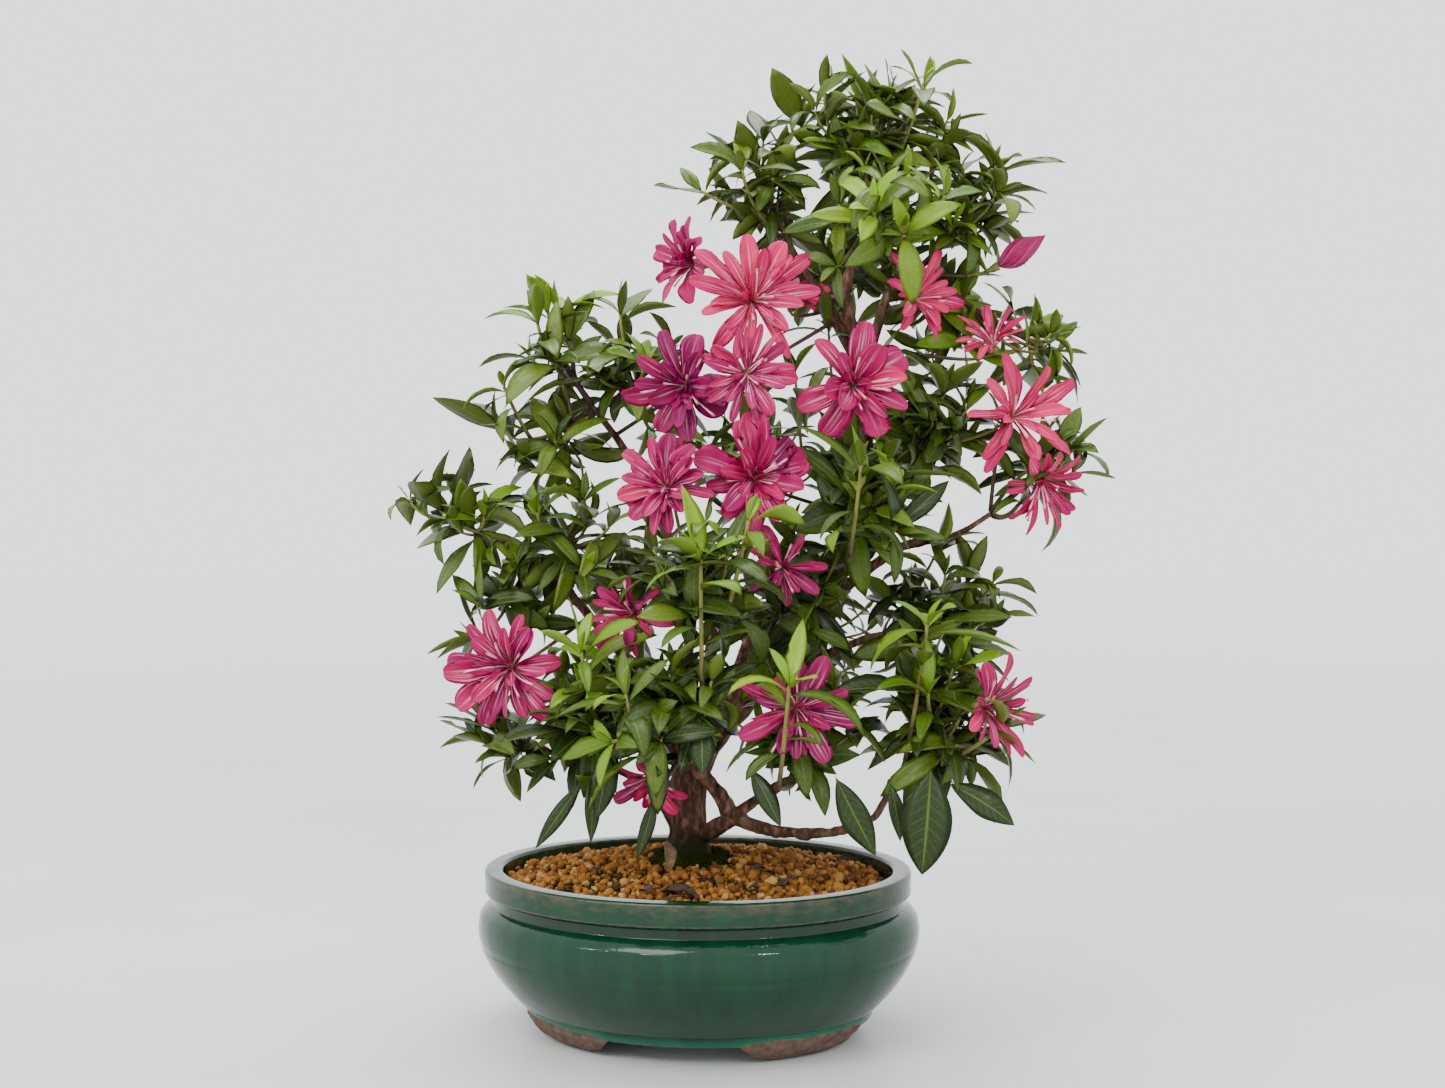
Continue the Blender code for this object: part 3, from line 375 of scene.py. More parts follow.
class Finish:
    """A material made of one Principled shader and the nodes that feed it."""

    def __init__(self, name, **sockets):
        self.material = bpy.data.materials.new(name)
        self.material.use_nodes = True
        self.tree = self.material.node_tree
        self.shader = self.tree.nodes["Principled BSDF"]
        self.fill(self.shader, sockets)

    def put(self, socket, value):
        """Links an output to the socket, or sets the socket's own value."""
        if isinstance(value, bpy.types.NodeSocket):
            self.tree.links.new(value, socket)
        elif isinstance(value, tuple) and socket.type == "RGBA":
            socket.default_value = (*value, 1.0)
        else:
            socket.default_value = value

    def fill(self, node, sockets):
        """Puts each value into the socket of that name; a low line stands for a space."""
        for key, value in sockets.items():
            self.put(node.inputs[key.replace("_", " ")], value)

    def node(self, kind, settings=None, **sockets):
        """A new node with its settings and socket values."""
        made = self.tree.nodes.new("ShaderNode" + kind)
        for key, value in (settings or {}).items():
            setattr(made, key, value)
        self.fill(made, sockets)
        return made

    def place(self, stretch=(1, 1, 1)):
        """Object coordinates, stretched."""
        where = self.node("TexCoord").outputs["Object"]
        return self.node("Mapping", Vector=where, Scale=stretch).outputs["Vector"]

    def noise(self, scale, detail=3.0, roughness=0.55, stretch=(1, 1, 1), where=None):
        """Cloudy noise on the stretched object coordinates, or at another place."""
        where = where or self.place(stretch)
        made = self.node("TexNoise", Vector=where, Scale=scale, Detail=detail, Roughness=roughness)
        return made.outputs["Fac"]

    def value(self, name):
        """A number stored on the mesh's points."""
        return self.node("Attribute", {"attribute_name": name}).outputs["Fac"]

    def blade(self):
        """The UV place on a blade, its share along the rib, and its share out from it."""
        uv = self.node("UVMap").outputs["UV"]
        parts = self.node("SeparateXYZ", Vector=uv).outputs
        return uv, parts["X"], self.math("ABSOLUTE", self.minus(self.times(parts["Y"], 2), 1))

    def ramp(self, factor, *stops):
        """A ramp through (place, colour) stops; a plain number stands for a grey."""
        made = self.node("ValToRGB", Fac=factor)
        bar = made.color_ramp.elements
        while len(bar) < len(stops):
            bar.new(0.5)
        for element, (at, colour) in zip(bar, stops):
            element.position = at
            element.color = (*colour, 1.0) if isinstance(colour, tuple) else (colour,) * 3 + (1,)
        return made.outputs["Color"]

    def mix(self, factor, a, b):
        """Colour a at factor 0, colour b at factor 1."""
        made = self.node("Mix", {"data_type": "RGBA"}, Factor=factor)
        for socket, value in zip(made.inputs[6:8], (a, b)):
            self.put(socket, value)
        return made.outputs[2]

    def math(self, operation, a, b=0.0, clamp=False):
        """The result of an operation on two numbers."""
        made = self.node("Math", {"operation": operation, "use_clamp": clamp})
        for socket, value in zip(made.inputs[:2], (a, b)):
            self.put(socket, value)
        return made.outputs[0]

    def plus(self, a, b):
        """a + b"""
        return self.math("ADD", a, b)

    def minus(self, a, b):
        """a - b"""
        return self.math("SUBTRACT", a, b)

    def times(self, a, b, clamp=False):
        """a * b"""
        return self.math("MULTIPLY", a, b, clamp)

    def colour(self, value):
        """Feeds the shader's colour."""
        self.put(self.shader.inputs["Base Color"], value)

    def rough(self, value):
        """Feeds the shader's roughness."""
        self.put(self.shader.inputs["Roughness"], value)

    def bump(self, height, strength, distance):
        """Relief from a height, through the shader's normal."""
        made = self.node("Bump", Height=height, Strength=strength, Distance=distance)
        self.put(self.shader.inputs["Normal"], made.outputs["Normal"])


def glaze_finish():
    """Green glaze that pools turquoise above its lower edge, over bare brown clay."""
    f = Finish("green_glaze", Specular_IOR_Level=0.30)
    streaks = f.noise(1.6, 4, stretch=(60, 60, 9))
    clouds = f.noise(1.3, 3, stretch=(14, 14, 14))
    green = f.ramp(streaks, (0.32, (0.000, 0.016, 0.005)), (0.7, (0.001, 0.034, 0.012)))
    green = f.mix(f.times(clouds, 0.5), green, (0.000, 0.030, 0.012))
    drift = f.times(f.minus(f.noise(60, 4, stretch=(1, 1, 0.3)), 0.5), 5.0)
    level = f.plus(f.value("above_line"), drift)
    pool = f.ramp(f.times(level, 0.1), (0.05, 1.0), (0.55, 0.0))
    green = f.mix(f.times(pool, 0.85), green, (0.003, 0.105, 0.062))
    thin = f.times(f.value("thin"), f.noise(3.0, 5, stretch=(40, 40, 90)), True)
    thin = f.ramp(thin, (0.24, 0.0), (0.52, 1.0))
    green = f.mix(thin, green, (0.050, 0.042, 0.024))
    # Painted shade: a dark band on the neck, where the groove under the rim lies in shadow.
    green = f.mix(f.times(f.value("neck_shade"), 0.8), green, (0.005, 0.012, 0.007))
    clay = f.ramp(
        f.noise(260, 6), (0.3, (0.055, 0.032, 0.022)), (0.75, (0.150, 0.095, 0.066))
    )
    bare = f.ramp(f.plus(level, 0.5), (0.35, 1.0), (0.60, 0.0))
    f.colour(f.mix(bare, green, clay))
    smears = f.ramp(f.noise(22, 5), (0.35, 0.04), (0.8, 0.14))
    smears = f.mix(f.times(thin, 0.8), smears, (0.42, 0.42, 0.42))
    f.rough(f.mix(bare, smears, (0.9, 0.9, 0.9)))
    pits = f.times(f.noise(900, 2), 0.25)
    runs = f.times(f.noise(1.0, 3, stretch=(50, 50, 22)), 2.2)
    f.bump(f.plus(f.plus(pits, runs), f.times(bare, 0.8)), 0.35, 0.0006)
    return f.material


def grain_finish():
    """Dusty orange clay: each grain has a tone of its own, from cream to dark rust."""
    f = Finish("akadama_grains", Specular_IOR_Level=0.25)
    tone = f.ramp(
        f.value("tone"),
        (0.00, (0.030, 0.012, 0.004)),
        (0.18, (0.135, 0.048, 0.006)),
        (0.50, (0.245, 0.093, 0.010)),
        (0.82, (0.360, 0.155, 0.024)),
        (1.00, (0.460, 0.280, 0.095)),
    )
    dust = f.noise(620, 5)
    f.colour(f.mix(f.times(dust, 0.45), tone, (0.170, 0.070, 0.012)))
    f.rough(f.ramp(dust, (0.3, 0.85), (0.7, 1.0)))
    f.bump(f.noise(1500, 4), 0.6, 0.0005)
    return f.material


def mottled_finish(name, specular, cloud, colours, rough, relief):
    """One cloudy noise that gives the colour, the roughness and the relief."""
    f = Finish(name, Specular_IOR_Level=specular)
    spots = f.noise(*cloud)
    f.colour(f.ramp(spots, *colours))
    f.rough(f.ramp(spots, *rough))
    f.bump(spots, *relief)
    return f.material


def earth_finish(name, dark, light, scale):
    """Damp crumbly ground."""
    colours = ((0.35, dark), (0.7, light))
    rough = ((0.3, 0.75), (0.7, 1.0))
    return mottled_finish(name, 0.3, (scale, 6, 0.7), colours, rough, (0.9, 0.0015))


def dead_leaf_finish(name, dark, light):
    """Blotched dry leaf."""
    colours = ((0.3, dark), (0.75, light))
    rough = ((0.3, 0.6), (0.8, 0.9))
    return mottled_finish(name, 0.3, (330, 5, 0.65), colours, rough, (0.7, 0.0006))


def moss_finish():
    """Dark matt green with olive tips."""
    colours = (
        (0.3, (0.008, 0.009, 0.001)), (0.6, (0.026, 0.034, 0.002)), (0.85, (0.070, 0.085, 0.008)),
    )
    rough = ((0.3, 0.8), (0.8, 1.0))
    return mottled_finish("moss", 0.08, (420, 4), colours, rough, (0.8, 0.001))


def bark_finish():
    """Red-brown bark in flakes, grey on the raised ones, dark moss at the foot."""
    f = Finish("bark", Specular_IOR_Level=0.12)
    flakes = f.noise(1.0, 6, 0.62, stretch=(260, 260, 90))
    stains = f.noise(60, 4)
    brown = f.ramp(
        flakes, (0.30, (0.014, 0.007, 0.005)), (0.48, (0.070, 0.032, 0.019)),
        (0.58, (0.145, 0.076, 0.048)), (0.72, (0.280, 0.185, 0.140)),
    )
    brown = f.mix(f.ramp(stains, (0.45, 0.0), (0.7, 0.6)), brown, (0.150, 0.090, 0.065))
    height = f.node("SeparateXYZ", Vector=f.place()).outputs["Z"]
    climb = f.minus(height, f.times(f.noise(130, 4), 0.022))
    damp = f.node(
        "MapRange", Value=climb, From_Min=SOIL_HIGH + 0.002, From_Max=SOIL_HIGH + 0.016
    ).outputs["Result"]
    f.colour(f.mix(damp, (0.014, 0.015, 0.003), brown))
    f.rough(f.ramp(flakes, (0.3, 0.95), (0.8, 0.7)))
    f.bump(flakes, 0.9, 0.0012)
    return f.material


def stem_finish():
    """Twigs: brown where they are old, olive and then fresh green towards the tip."""
    f = Finish("stems", Specular_IOR_Level=0.35)
    skin = f.noise(1.0, 4, stretch=(500, 500, 160))
    old = f.ramp(skin, (0.3, (0.028, 0.014, 0.008)), (0.7, (0.090, 0.048, 0.028)))
    young = f.ramp(skin, (0.3, (0.095, 0.095, 0.014)), (0.7, (0.190, 0.180, 0.032)))
    f.colour(f.mix(f.value("green"), old, young))
    f.rough(f.ramp(skin, (0.3, 0.5), (0.7, 0.75)))
    f.bump(skin, 0.5, 0.0004)
    return f.material


def leaf_finish():
    """Leaf with a pale rib, side veins, fine pale specks that are partly its hairs and partly
    painted sheen, patches of painted sheen and a paler back; its tone is partly random and partly
    painted light, lighter higher up.
    """
    f = Finish("foliage", Specular_IOR_Level=0.20, Coat_Weight=0.08, Coat_Roughness=0.22)
    _, along, across = f.blade()
    tone = f.value("tone")
    old_leaf = f.ramp(
        tone, (0.0, (0.010, 0.022, 0.001)), (0.5, (0.044, 0.078, 0.001)),
        (1.0, (0.115, 0.170, 0.002)),
    )
    young_leaf = f.ramp(
        tone, (0.0, (0.085, 0.180, 0.001)), (0.5, (0.140, 0.270, 0.001)),
        (1.0, (0.220, 0.360, 0.002)),
    )
    blend = f.ramp(f.value("young"), (0.15, 0.0), (0.85, 1.0))
    green = f.mix(blend, old_leaf, young_leaf)
    patches = f.noise(190, 4)
    # Painted sheen: lighter patches, stronger on lighter-toned leaves.
    painted_sheen = f.times(f.ramp(patches, (0.45, 0.0), (0.8, 0.50)), tone, True)
    green = f.mix(painted_sheen, green, (0.095, 0.140, 0.008))
    slant = f.minus(along, f.times(across, 0.16))
    waves = f.math("SINE", f.times(slant, 62.0))
    inner = f.ramp(across, (0.55, 1.0), (0.85, 0.0))
    veins = f.times(f.ramp(waves, (0.80, 0.0), (1.0, 1.0)), inner)
    rib = f.ramp(across, (0.0, 1.0), (0.09, 0.0))
    lines = f.math("MAXIMUM", f.times(veins, 0.25), rib)
    green = f.mix(f.times(lines, 0.50), green, (0.120, 0.200, 0.020))
    # Fine pale specks: partly the leaf's hairs, partly painted sheen, stronger on lighter-toned
    # leaves.
    hairs_and_sheen = f.ramp(f.noise(1700, 3, 0.7), (0.56, 0.0), (0.70, 0.65))
    hairs_and_sheen = f.times(hairs_and_sheen, f.ramp(tone, (0.0, 0.25), (0.7, 1.0)))
    green = f.mix(hairs_and_sheen, green, (0.260, 0.310, 0.180))
    back = f.times(f.value("under"), 0.55)
    f.colour(f.mix(back, green, (0.105, 0.135, 0.020)))
    f.rough(f.ramp(patches, (0.3, 0.34), (0.8, 0.52)))
    height = f.minus(f.times(patches, 0.3), f.times(lines, 0.7))
    f.bump(height, 0.40, 0.0004)
    return f.material


def petal_finish():
    """Magenta petal: crisp pale streaks from the throat, fine ribs along it."""
    f = Finish(
        "petals", Specular_IOR_Level=0.2, Subsurface_Weight=0.10, Subsurface_Scale=0.002,
    )
    uv, along, across = f.blade()
    tone = f.value("tone")
    streak = f.value("streak")
    pink = f.ramp(
        tone, (0.0, (0.150, 0.000, 0.055)), (0.40, (0.300, 0.000, 0.070)),
        (0.75, (0.440, 0.000, 0.075)), (1.0, (0.600, 0.018, 0.105)),
    )
    clouds = f.noise(120, 3)
    pink = f.mix(f.ramp(clouds, (0.45, 0.0), (0.8, 0.5)), pink, (0.420, 0.000, 0.110))
    stretched = f.node("Mapping", Vector=uv, Scale=(0.5, 7.0, 1.0)).outputs["Vector"]
    offset = f.node("CombineXYZ", X=f.times(tone, 37.0), Y=f.times(tone, 19))
    drawn = f.node("VectorMath", {"operation": "ADD"})
    f.put(drawn.inputs[0], stretched)
    f.put(drawn.inputs[1], offset.outputs["Vector"])
    lines = f.noise(2.2, 2, where=drawn.outputs["Vector"])
    fade = f.ramp(along, (0.25, 1.0), (0.90, 0.10))
    pale = f.times(f.ramp(lines, (0.58, 0.0), (0.62, 1.0)), fade)
    pale = f.times(pale, streak, True)
    centre = f.times(f.ramp(across, (0.04, 1.0), (0.11, 0.0)), fade)
    pale = f.math("MAXIMUM", pale, f.times(centre, streak, True))
    colour = f.mix(pale, pink, (0.920, 0.560, 0.640))
    throat = f.ramp(along, (0.02, 1.0), (0.34, 0.0))
    f.colour(f.mix(f.times(throat, 0.75), colour, (0.740, 0.260, 0.190)))
    f.rough(f.ramp(lines, (0.3, 0.42), (0.7, 0.60)))
    f.bump(lines, 0.5, 0.0007)
    return f.material


def filament_finish():
    """Stamens: cream at the foot, pink along the thread, a brown end."""
    f = Finish("filaments", Specular_IOR_Level=0.4, Roughness=0.5)
    f.colour(f.ramp(
        f.value("green"), (0.0, (0.62, 0.42, 0.26)), (0.4, (0.86, 0.46, 0.52)),
        (0.93, (0.88, 0.30, 0.46)), (1.0, (0.30, 0.12, 0.08)),
    ))
    return f.material


def mesh_plastic_finish():
    """Black screen plastic with a woven relief."""
    f = Finish("screen_plastic", Roughness=0.55, Specular_IOR_Level=0.4)
    weave = f.node("TexBrick", {"offset": 0.0}, Vector=f.place(), Scale=220.0, Mortar_Size=0.25)
    f.colour(f.mix(weave.outputs["Fac"], (0.006, 0.006, 0.006), (0.035, 0.036, 0.034)))
    f.bump(weave.outputs["Fac"], 0.8, 0.0008)
    return f.material


def wire_finish():
    """Drawn aluminium wire."""
    f = Finish("clip_wire", Metallic=1.0)
    drawn = f.noise(1.0, 3, stretch=(900, 60, 900))
    f.colour(f.ramp(drawn, (0.3, (0.36, 0.35, 0.33)), (0.7, (0.62, 0.61, 0.59))))
    f.rough(f.ramp(drawn, (0.3, 0.28), (0.7, 0.5)))
    f.bump(drawn, 0.2, 0.0002)
    return f.material


def floor_finish():
    """Pale floor that brightens towards the far edge, so it meets the sky softly."""
    f = Finish("pale_floor", Roughness=0.38, Specular_IOR_Level=0.35)
    haze = f.noise(2.2, 5, 0.6)
    near = f.ramp(haze, (0.35, (0.51, 0.515, 0.51)), (0.7, (0.59, 0.59, 0.585)))
    far = f.node("VectorMath", {"operation": "LENGTH"}, Vector=f.place()).outputs["Value"]
    reach = f.node("MapRange", Value=far, From_Min=0.6, From_Max=3.5).outputs["Result"]
    f.colour(f.mix(reach, near, (0.93, 0.94, 0.95)))
    return f.material


GLAZE = glaze_finish()
GRAINS = grain_finish()
GRAIN_BED = earth_finish("grain_bed", (0.010, 0.005, 0.002), (0.070, 0.030, 0.008), 700)
ROOT_SOIL = earth_finish("root_soil", (0.018, 0.010, 0.006), (0.090, 0.052, 0.030), 420)
MOSS = moss_finish()
BARK = bark_finish()
STEM = stem_finish()
LEAF = leaf_finish()
PETAL = petal_finish()
FILAMENT = filament_finish()
DRY_LEAF = dead_leaf_finish("dry_leaf", (0.045, 0.026, 0.012), (0.210, 0.130, 0.060))
DARK_LEAF = dead_leaf_finish("dark_leaf", (0.008, 0.006, 0.004), (0.075, 0.045, 0.028))
SCREEN = mesh_plastic_finish()
WIRE = wire_finish()

# The CAD objects that stay, with their finishes.
KEPT_NODES = {
    "drain_screen_left": SCREEN, "drain_screen_right": SCREEN,
    "screen_wire_left": WIRE, "screen_wire_right": WIRE,
    "root_zone_soil": ROOT_SOIL, "akadama_top_layer": GRAIN_BED, "moss_collar": MOSS,
}

# ---------------------------------------------------------------- the pot

BELLY_SWELL = 4.2 * MM
POT_HALF = (POT_HIGH - POT_LOW)[:2] / 2 - BELLY_SWELL    # over the rim, half length and depth
WALL = 8.0 * MM
UNDERSIDE = 10.0 * MM       # height of the bottom between the feet
STEP = 17.5 * MM            # height of the small step where the belly begins
NECK_LOW = POT_HEIGHT - 19.7 * MM       # height where the belly meets the neck
NECK_INSET = 4.0 * MM       # insets are from the rim's outer edge
BASE_INSET = 20.0 * MM
FRONT_GAP = 37 * MM         # half the clear width between feet, front and ends
SIDE_GAP = 22 * MM
GAP_FLARE = 13 * MM
GAP_TOP = UNDERSIDE + 1.5 * MM
DRAIN_RADIUS = 8 * MM
POT_STEPS = 360             # round the oval
FOOT_ROWS = 60              # rows of the profile that the gaps may lift
THROWING_LINES = (          # height, half width and depth of the lines left by turning
    (52 * MM, 1.1 * MM, 0.42 * MM), (65 * MM, 1.4 * MM, 0.34 * MM),
)
WORN_EDGES = (              # height, half width and strength of the thin glaze
    (POT_HEIGHT - 1.3 * MM, 0.8 * MM, 1.0), (POT_HEIGHT - 12.4 * MM, 1.1 * MM, 0.9),
    (NECK_LOW + 0.4 * MM, 0.8 * MM, 0.45),
)


def pot_share(x, y, gap):
    """0 at the pot's middle and 1 on the oval that lies the gap inside the rim's edge."""
    return np.hypot(
        (x - POT_MIDDLE[0]) / (POT_HALF[0] - gap), (y - POT_MIDDLE[1]) / (POT_HALF[1] - gap)
    )


def belly_inset(z):
    """Inset from the rim: a power of 1.8 below the widest place, of 3.5 above it."""
    widest = STEP + 0.74 * (NECK_LOW - STEP)
    below = np.clip((widest - z) / (widest - STEP), 0, 1) ** 1.8
    above = np.clip((z - widest) / (NECK_LOW - widest), 0, 1) ** 3.5
    low_side = (BASE_INSET + BELLY_SWELL) * below
    return -BELLY_SWELL + low_side + (NECK_INSET + BELLY_SWELL) * above


def rounded(corners, radius, steps=4):
    """The corners' polyline with each corner cut to a quadratic curve of that reach."""
    corners = np.array(corners)
    route = [corners[:1]]
    t = np.linspace(0, 1, steps + 1)[:, None]
    for before, corner, after in zip(corners, corners[1:], corners[2:]):
        into, out = before - corner, after - corner
        reach = min(radius, np.linalg.norm(into) / 2.2, np.linalg.norm(out) / 2.2)
        a = corner + unit(into) * reach
        b = corner + unit(out) * reach
        route.append((1 - t) ** 2 * a + 2 * t * (1 - t) * corner + t**2 * b)
    route.append(corners[-1:])
    return np.concatenate(route)


def pot_profile():
    """(inset, z) rows from the underside out, up the outside, over the rim and in."""
    foot = rounded(
        [(60 * MM, UNDERSIDE), (47.8 * MM, UNDERSIDE), (47.2 * MM, 0), (33.8 * MM, 0),
         (28.0 * MM, 3.6 * MM), (23.8 * MM, 10 * MM), (21.8 * MM, STEP - 0.4 * MM),
         (BASE_INSET + 0.2 * MM, STEP)], 1.6 * MM,
    )
    z = np.linspace(STEP + 0.6 * MM, NECK_LOW - 0.6 * MM, 44)
    belly = np.stack([belly_inset(z), z], axis=-1)
    top = POT_HEIGHT
    rim = rounded(
        [belly[-1], (NECK_INSET, NECK_LOW), (NECK_INSET, top - 14.4 * MM),
         (0.6 * MM, top - 13.2 * MM), (0, top - 12 * MM), (0, top - 1.0 * MM),
         (1.2 * MM, top), (9.4 * MM, top - 0.1 * MM), (10.6 * MM, top - 1.2 * MM),
         (12 * MM, top - 13 * MM), (12 * MM, NECK_LOW)], 1.0 * MM,
    )
    z = np.linspace(NECK_LOW - 2 * MM, UNDERSIDE + 12 * MM, 16)
    inner = np.stack([belly_inset(z) + WALL, z], axis=-1)
    floor = [(34 * MM, UNDERSIDE + 8.6 * MM), (40 * MM, UNDERSIDE + 8 * MM),
             (60 * MM, UNDERSIDE + 8 * MM)]
    return np.concatenate([foot, belly, rim[1:], inner, np.array(floor)])


def gap_height(x, y):
    """Height that the gaps between the feet lift the bottom to at a place under the pot.

    A gap's roof is flat across its clear width, and its sides come down to the table
    over the flare, by the inverse of the power 1.7 that draws the feet's ends in.
    """
    roofs = []
    for place, half in ((np.abs(x), FRONT_GAP), (np.abs(y), SIDE_GAP)):
        share = np.clip((place - half) / GAP_FLARE, 0, 1) ** (1 / 1.7)
        roofs.append(GAP_TOP * (1 - share))
    return np.maximum(*roofs)


def glaze_marks(x, y, z, height):
    """Values for the glaze on the pot's rows: worn edges, painted shade in the groove under the
    rim, and its lower line.

    The line is in mm above the edge of the glaze, which dips by 2.8 mm over the feet.
    """
    thin = sum(bell(z, at, width) * strength for at, width, strength in WORN_EDGES)
    # Painted shade: a band under the rim, where the groove is darkened in the glaze's colour.
    neck_shade = bell(z, NECK_LOW + 1.6 * MM, 2.6 * MM)
    on_foot = smoothstep(FRONT_GAP - 4 * MM, FRONT_GAP + 12 * MM, np.abs(x))
    on_foot = on_foot * smoothstep(SIDE_GAP - 4 * MM, SIDE_GAP + 12 * MM, np.abs(y))
    return {
        "thin": (np.broadcast_to(np.clip(thin, 0, 1), x.shape), [0, 0]),
        "neck_shade": (np.broadcast_to(neck_shade, x.shape), [0, 0]),
        "above_line": (height / MM - 11.2 - 2.8 * on_foot, [-1, 20]),
    }


def make_pot():
    """The profile carried round the oval, the foot rows lifted between the feet."""
    profile = pot_profile()
    rows = len(profile)
    row = np.arange(rows)[:, None]
    t = np.arange(POT_STEPS) * 2 * math.pi / POT_STEPS
    inset, z = profile[:, :1], profile[:, 1:]
    lines = sum(depth * bell(z, at, width) for at, width, depth in THROWING_LINES)
    inset = inset + np.where((row <= np.argmax(z)) & (z > STEP), lines, 0)
    x, y = (POT_HALF[0] - inset) * np.cos(t), (POT_HALF[1] - inset) * np.sin(t)
    height = np.broadcast_to(z, x.shape).copy()
    lifted = (row < FOOT_ROWS) & (z < GAP_TOP)
    height = np.where(lifted, np.maximum(height, gap_height(x, y)), height)
    points = np.stack([x, y, height], axis=-1)
    wobble = lattice_noise(points, (0.045, 0.045, 0.02), 3)[..., None]
    outward = unit(np.stack([x, y, np.zeros_like(x)], axis=-1))
    points = points + outward * wobble * np.where(z > GAP_TOP, 0.25 * MM, 0.0)[..., None]
    middles = np.array([[0, 0, profile[0, 1]], [0, 0, profile[-1, 1]]])
    points = np.concatenate([points.reshape(-1, 3), middles])
    points += [POT_MIDDLE[0], POT_MIDDLE[1], POT_LOW[2]]
    under = fan(0, POT_STEPS, rows * POT_STEPS, flip=True)
    floor = fan((rows - 1) * POT_STEPS, POT_STEPS, rows * POT_STEPS + 1)
    marks = glaze_marks(x, y, z, height)
    pot = put_mesh(
        "glazed_pot", points, grid_quads(rows, POT_STEPS, wrap=True),
        np.concatenate([under, floor]),
        values={key: np.concatenate([part.ravel(), ends]) for key, (part, ends) in marks.items()},
    )
    drill_drains(pot)
    dress(pot, GLAZE, "green_glaze", "pot")


def shaped(thing):
    """A new mesh of the object as its modifiers leave it; the modifiers are taken off."""
    bpy.context.view_layer.update()
    shape = thing.evaluated_get(bpy.context.evaluated_depsgraph_get())
    mesh = bpy.data.meshes.new_from_object(shape)
    thing.modifiers.clear()
    return mesh


def drill_drains(pot):
    """Cuts the two drain holes where the screens' wires pass."""
    for side in ("left", "right"):
        middle, _ = node_box(f"drain_screen_{side}")
        paths = np.array([[middle - [0, 0, 0.03], middle + [0, 0, 0.03]]])
        points, quads, tris, _ = rods(paths, np.full((1, 2), DRAIN_RADIUS), 32)
        drill = put_mesh("drill", points, quads, tris)
        cut = pot.modifiers.new("drain", "BOOLEAN")
        cut.object = drill
        cut.solver = "EXACT"
        pot.data = shaped(pot)
        bpy.data.objects.remove(drill)


# ---------------------------------------------------------------- on the soil

GRAIN_PITCH = 3.7 * MM
GRAIN_SIZE = 1.50 * MM      # mean of the part of the radius that varies
COLLAR_TUFTS = 2600
MOSS_PATCHES = (            # right, away, width, tufts
    (-0.070, -0.052, 0.020, 620), (-0.048, -0.030, 0.014, 260), (0.020, -0.050, 0.008, 90),
    (-0.088, -0.030, 0.010, 160),
)
SCRAPS = (                  # right, away
    (-0.030, -0.062), (-0.020, -0.066), (-0.012, -0.060), (-0.036, -0.056), (0.052, -0.044),
    (0.066, -0.036), (0.030, -0.058), (-0.060, -0.020), (0.084, 0.020), (0.060, 0.034),
    (0.040, -0.030), (-0.006, -0.070),
)
TWIG_LENGTH = 20 * MM


def soil_heights(tree, x, y):
    """Height of the soil under each place, or nan off its top."""
    found = [tree.ray_cast(Vector((a, b, 0.2)), Vector((0, 0, -1)))[0] for a, b in zip(x, y)]
    return np.array([hit.z if hit else np.nan for hit in found])


def turns(rng, count):
    """Random rotation matrices from random unit quaternions."""
    w, x, y, z = unit(rng.normal(size=(count, 4))).T
    return np.stack(
        [
            np.stack([1 - 2 * (y * y + z * z), 2 * (x * y - z * w), 2 * (x * z + y * w)], -1),
            np.stack([2 * (x * y + z * w), 1 - 2 * (x * x + z * z), 2 * (y * z - x * w)], -1),
            np.stack([2 * (x * z - y * w), 2 * (y * z + x * w), 1 - 2 * (x * x + y * y)], -1),
        ],
        axis=1,
    )


def lump_plan():
    """A cube's surface with its faces cut in four, drawn out to a ball: 24 quads."""
    places, quads = {}, []
    for axis in range(3):
        for sign in (-1, 1):
            for a in (-1, 0):
                for b in (-1, 0):
                    corners = [(a, b), (a + 1, b), (a + 1, b + 1), (a, b + 1)]
                    if sign < 0:
                        corners.reverse()
                    face = []
                    for p, q in corners:
                        place = [0, 0, 0]
                        place[axis] = sign
                        place[(axis + 1) % 3] = p
                        place[(axis + 2) % 3] = q
                        face.append(places.setdefault(tuple(place), len(places)))
                    quads.append(face)
    return unit(np.array(list(places), float)), np.array(quads)


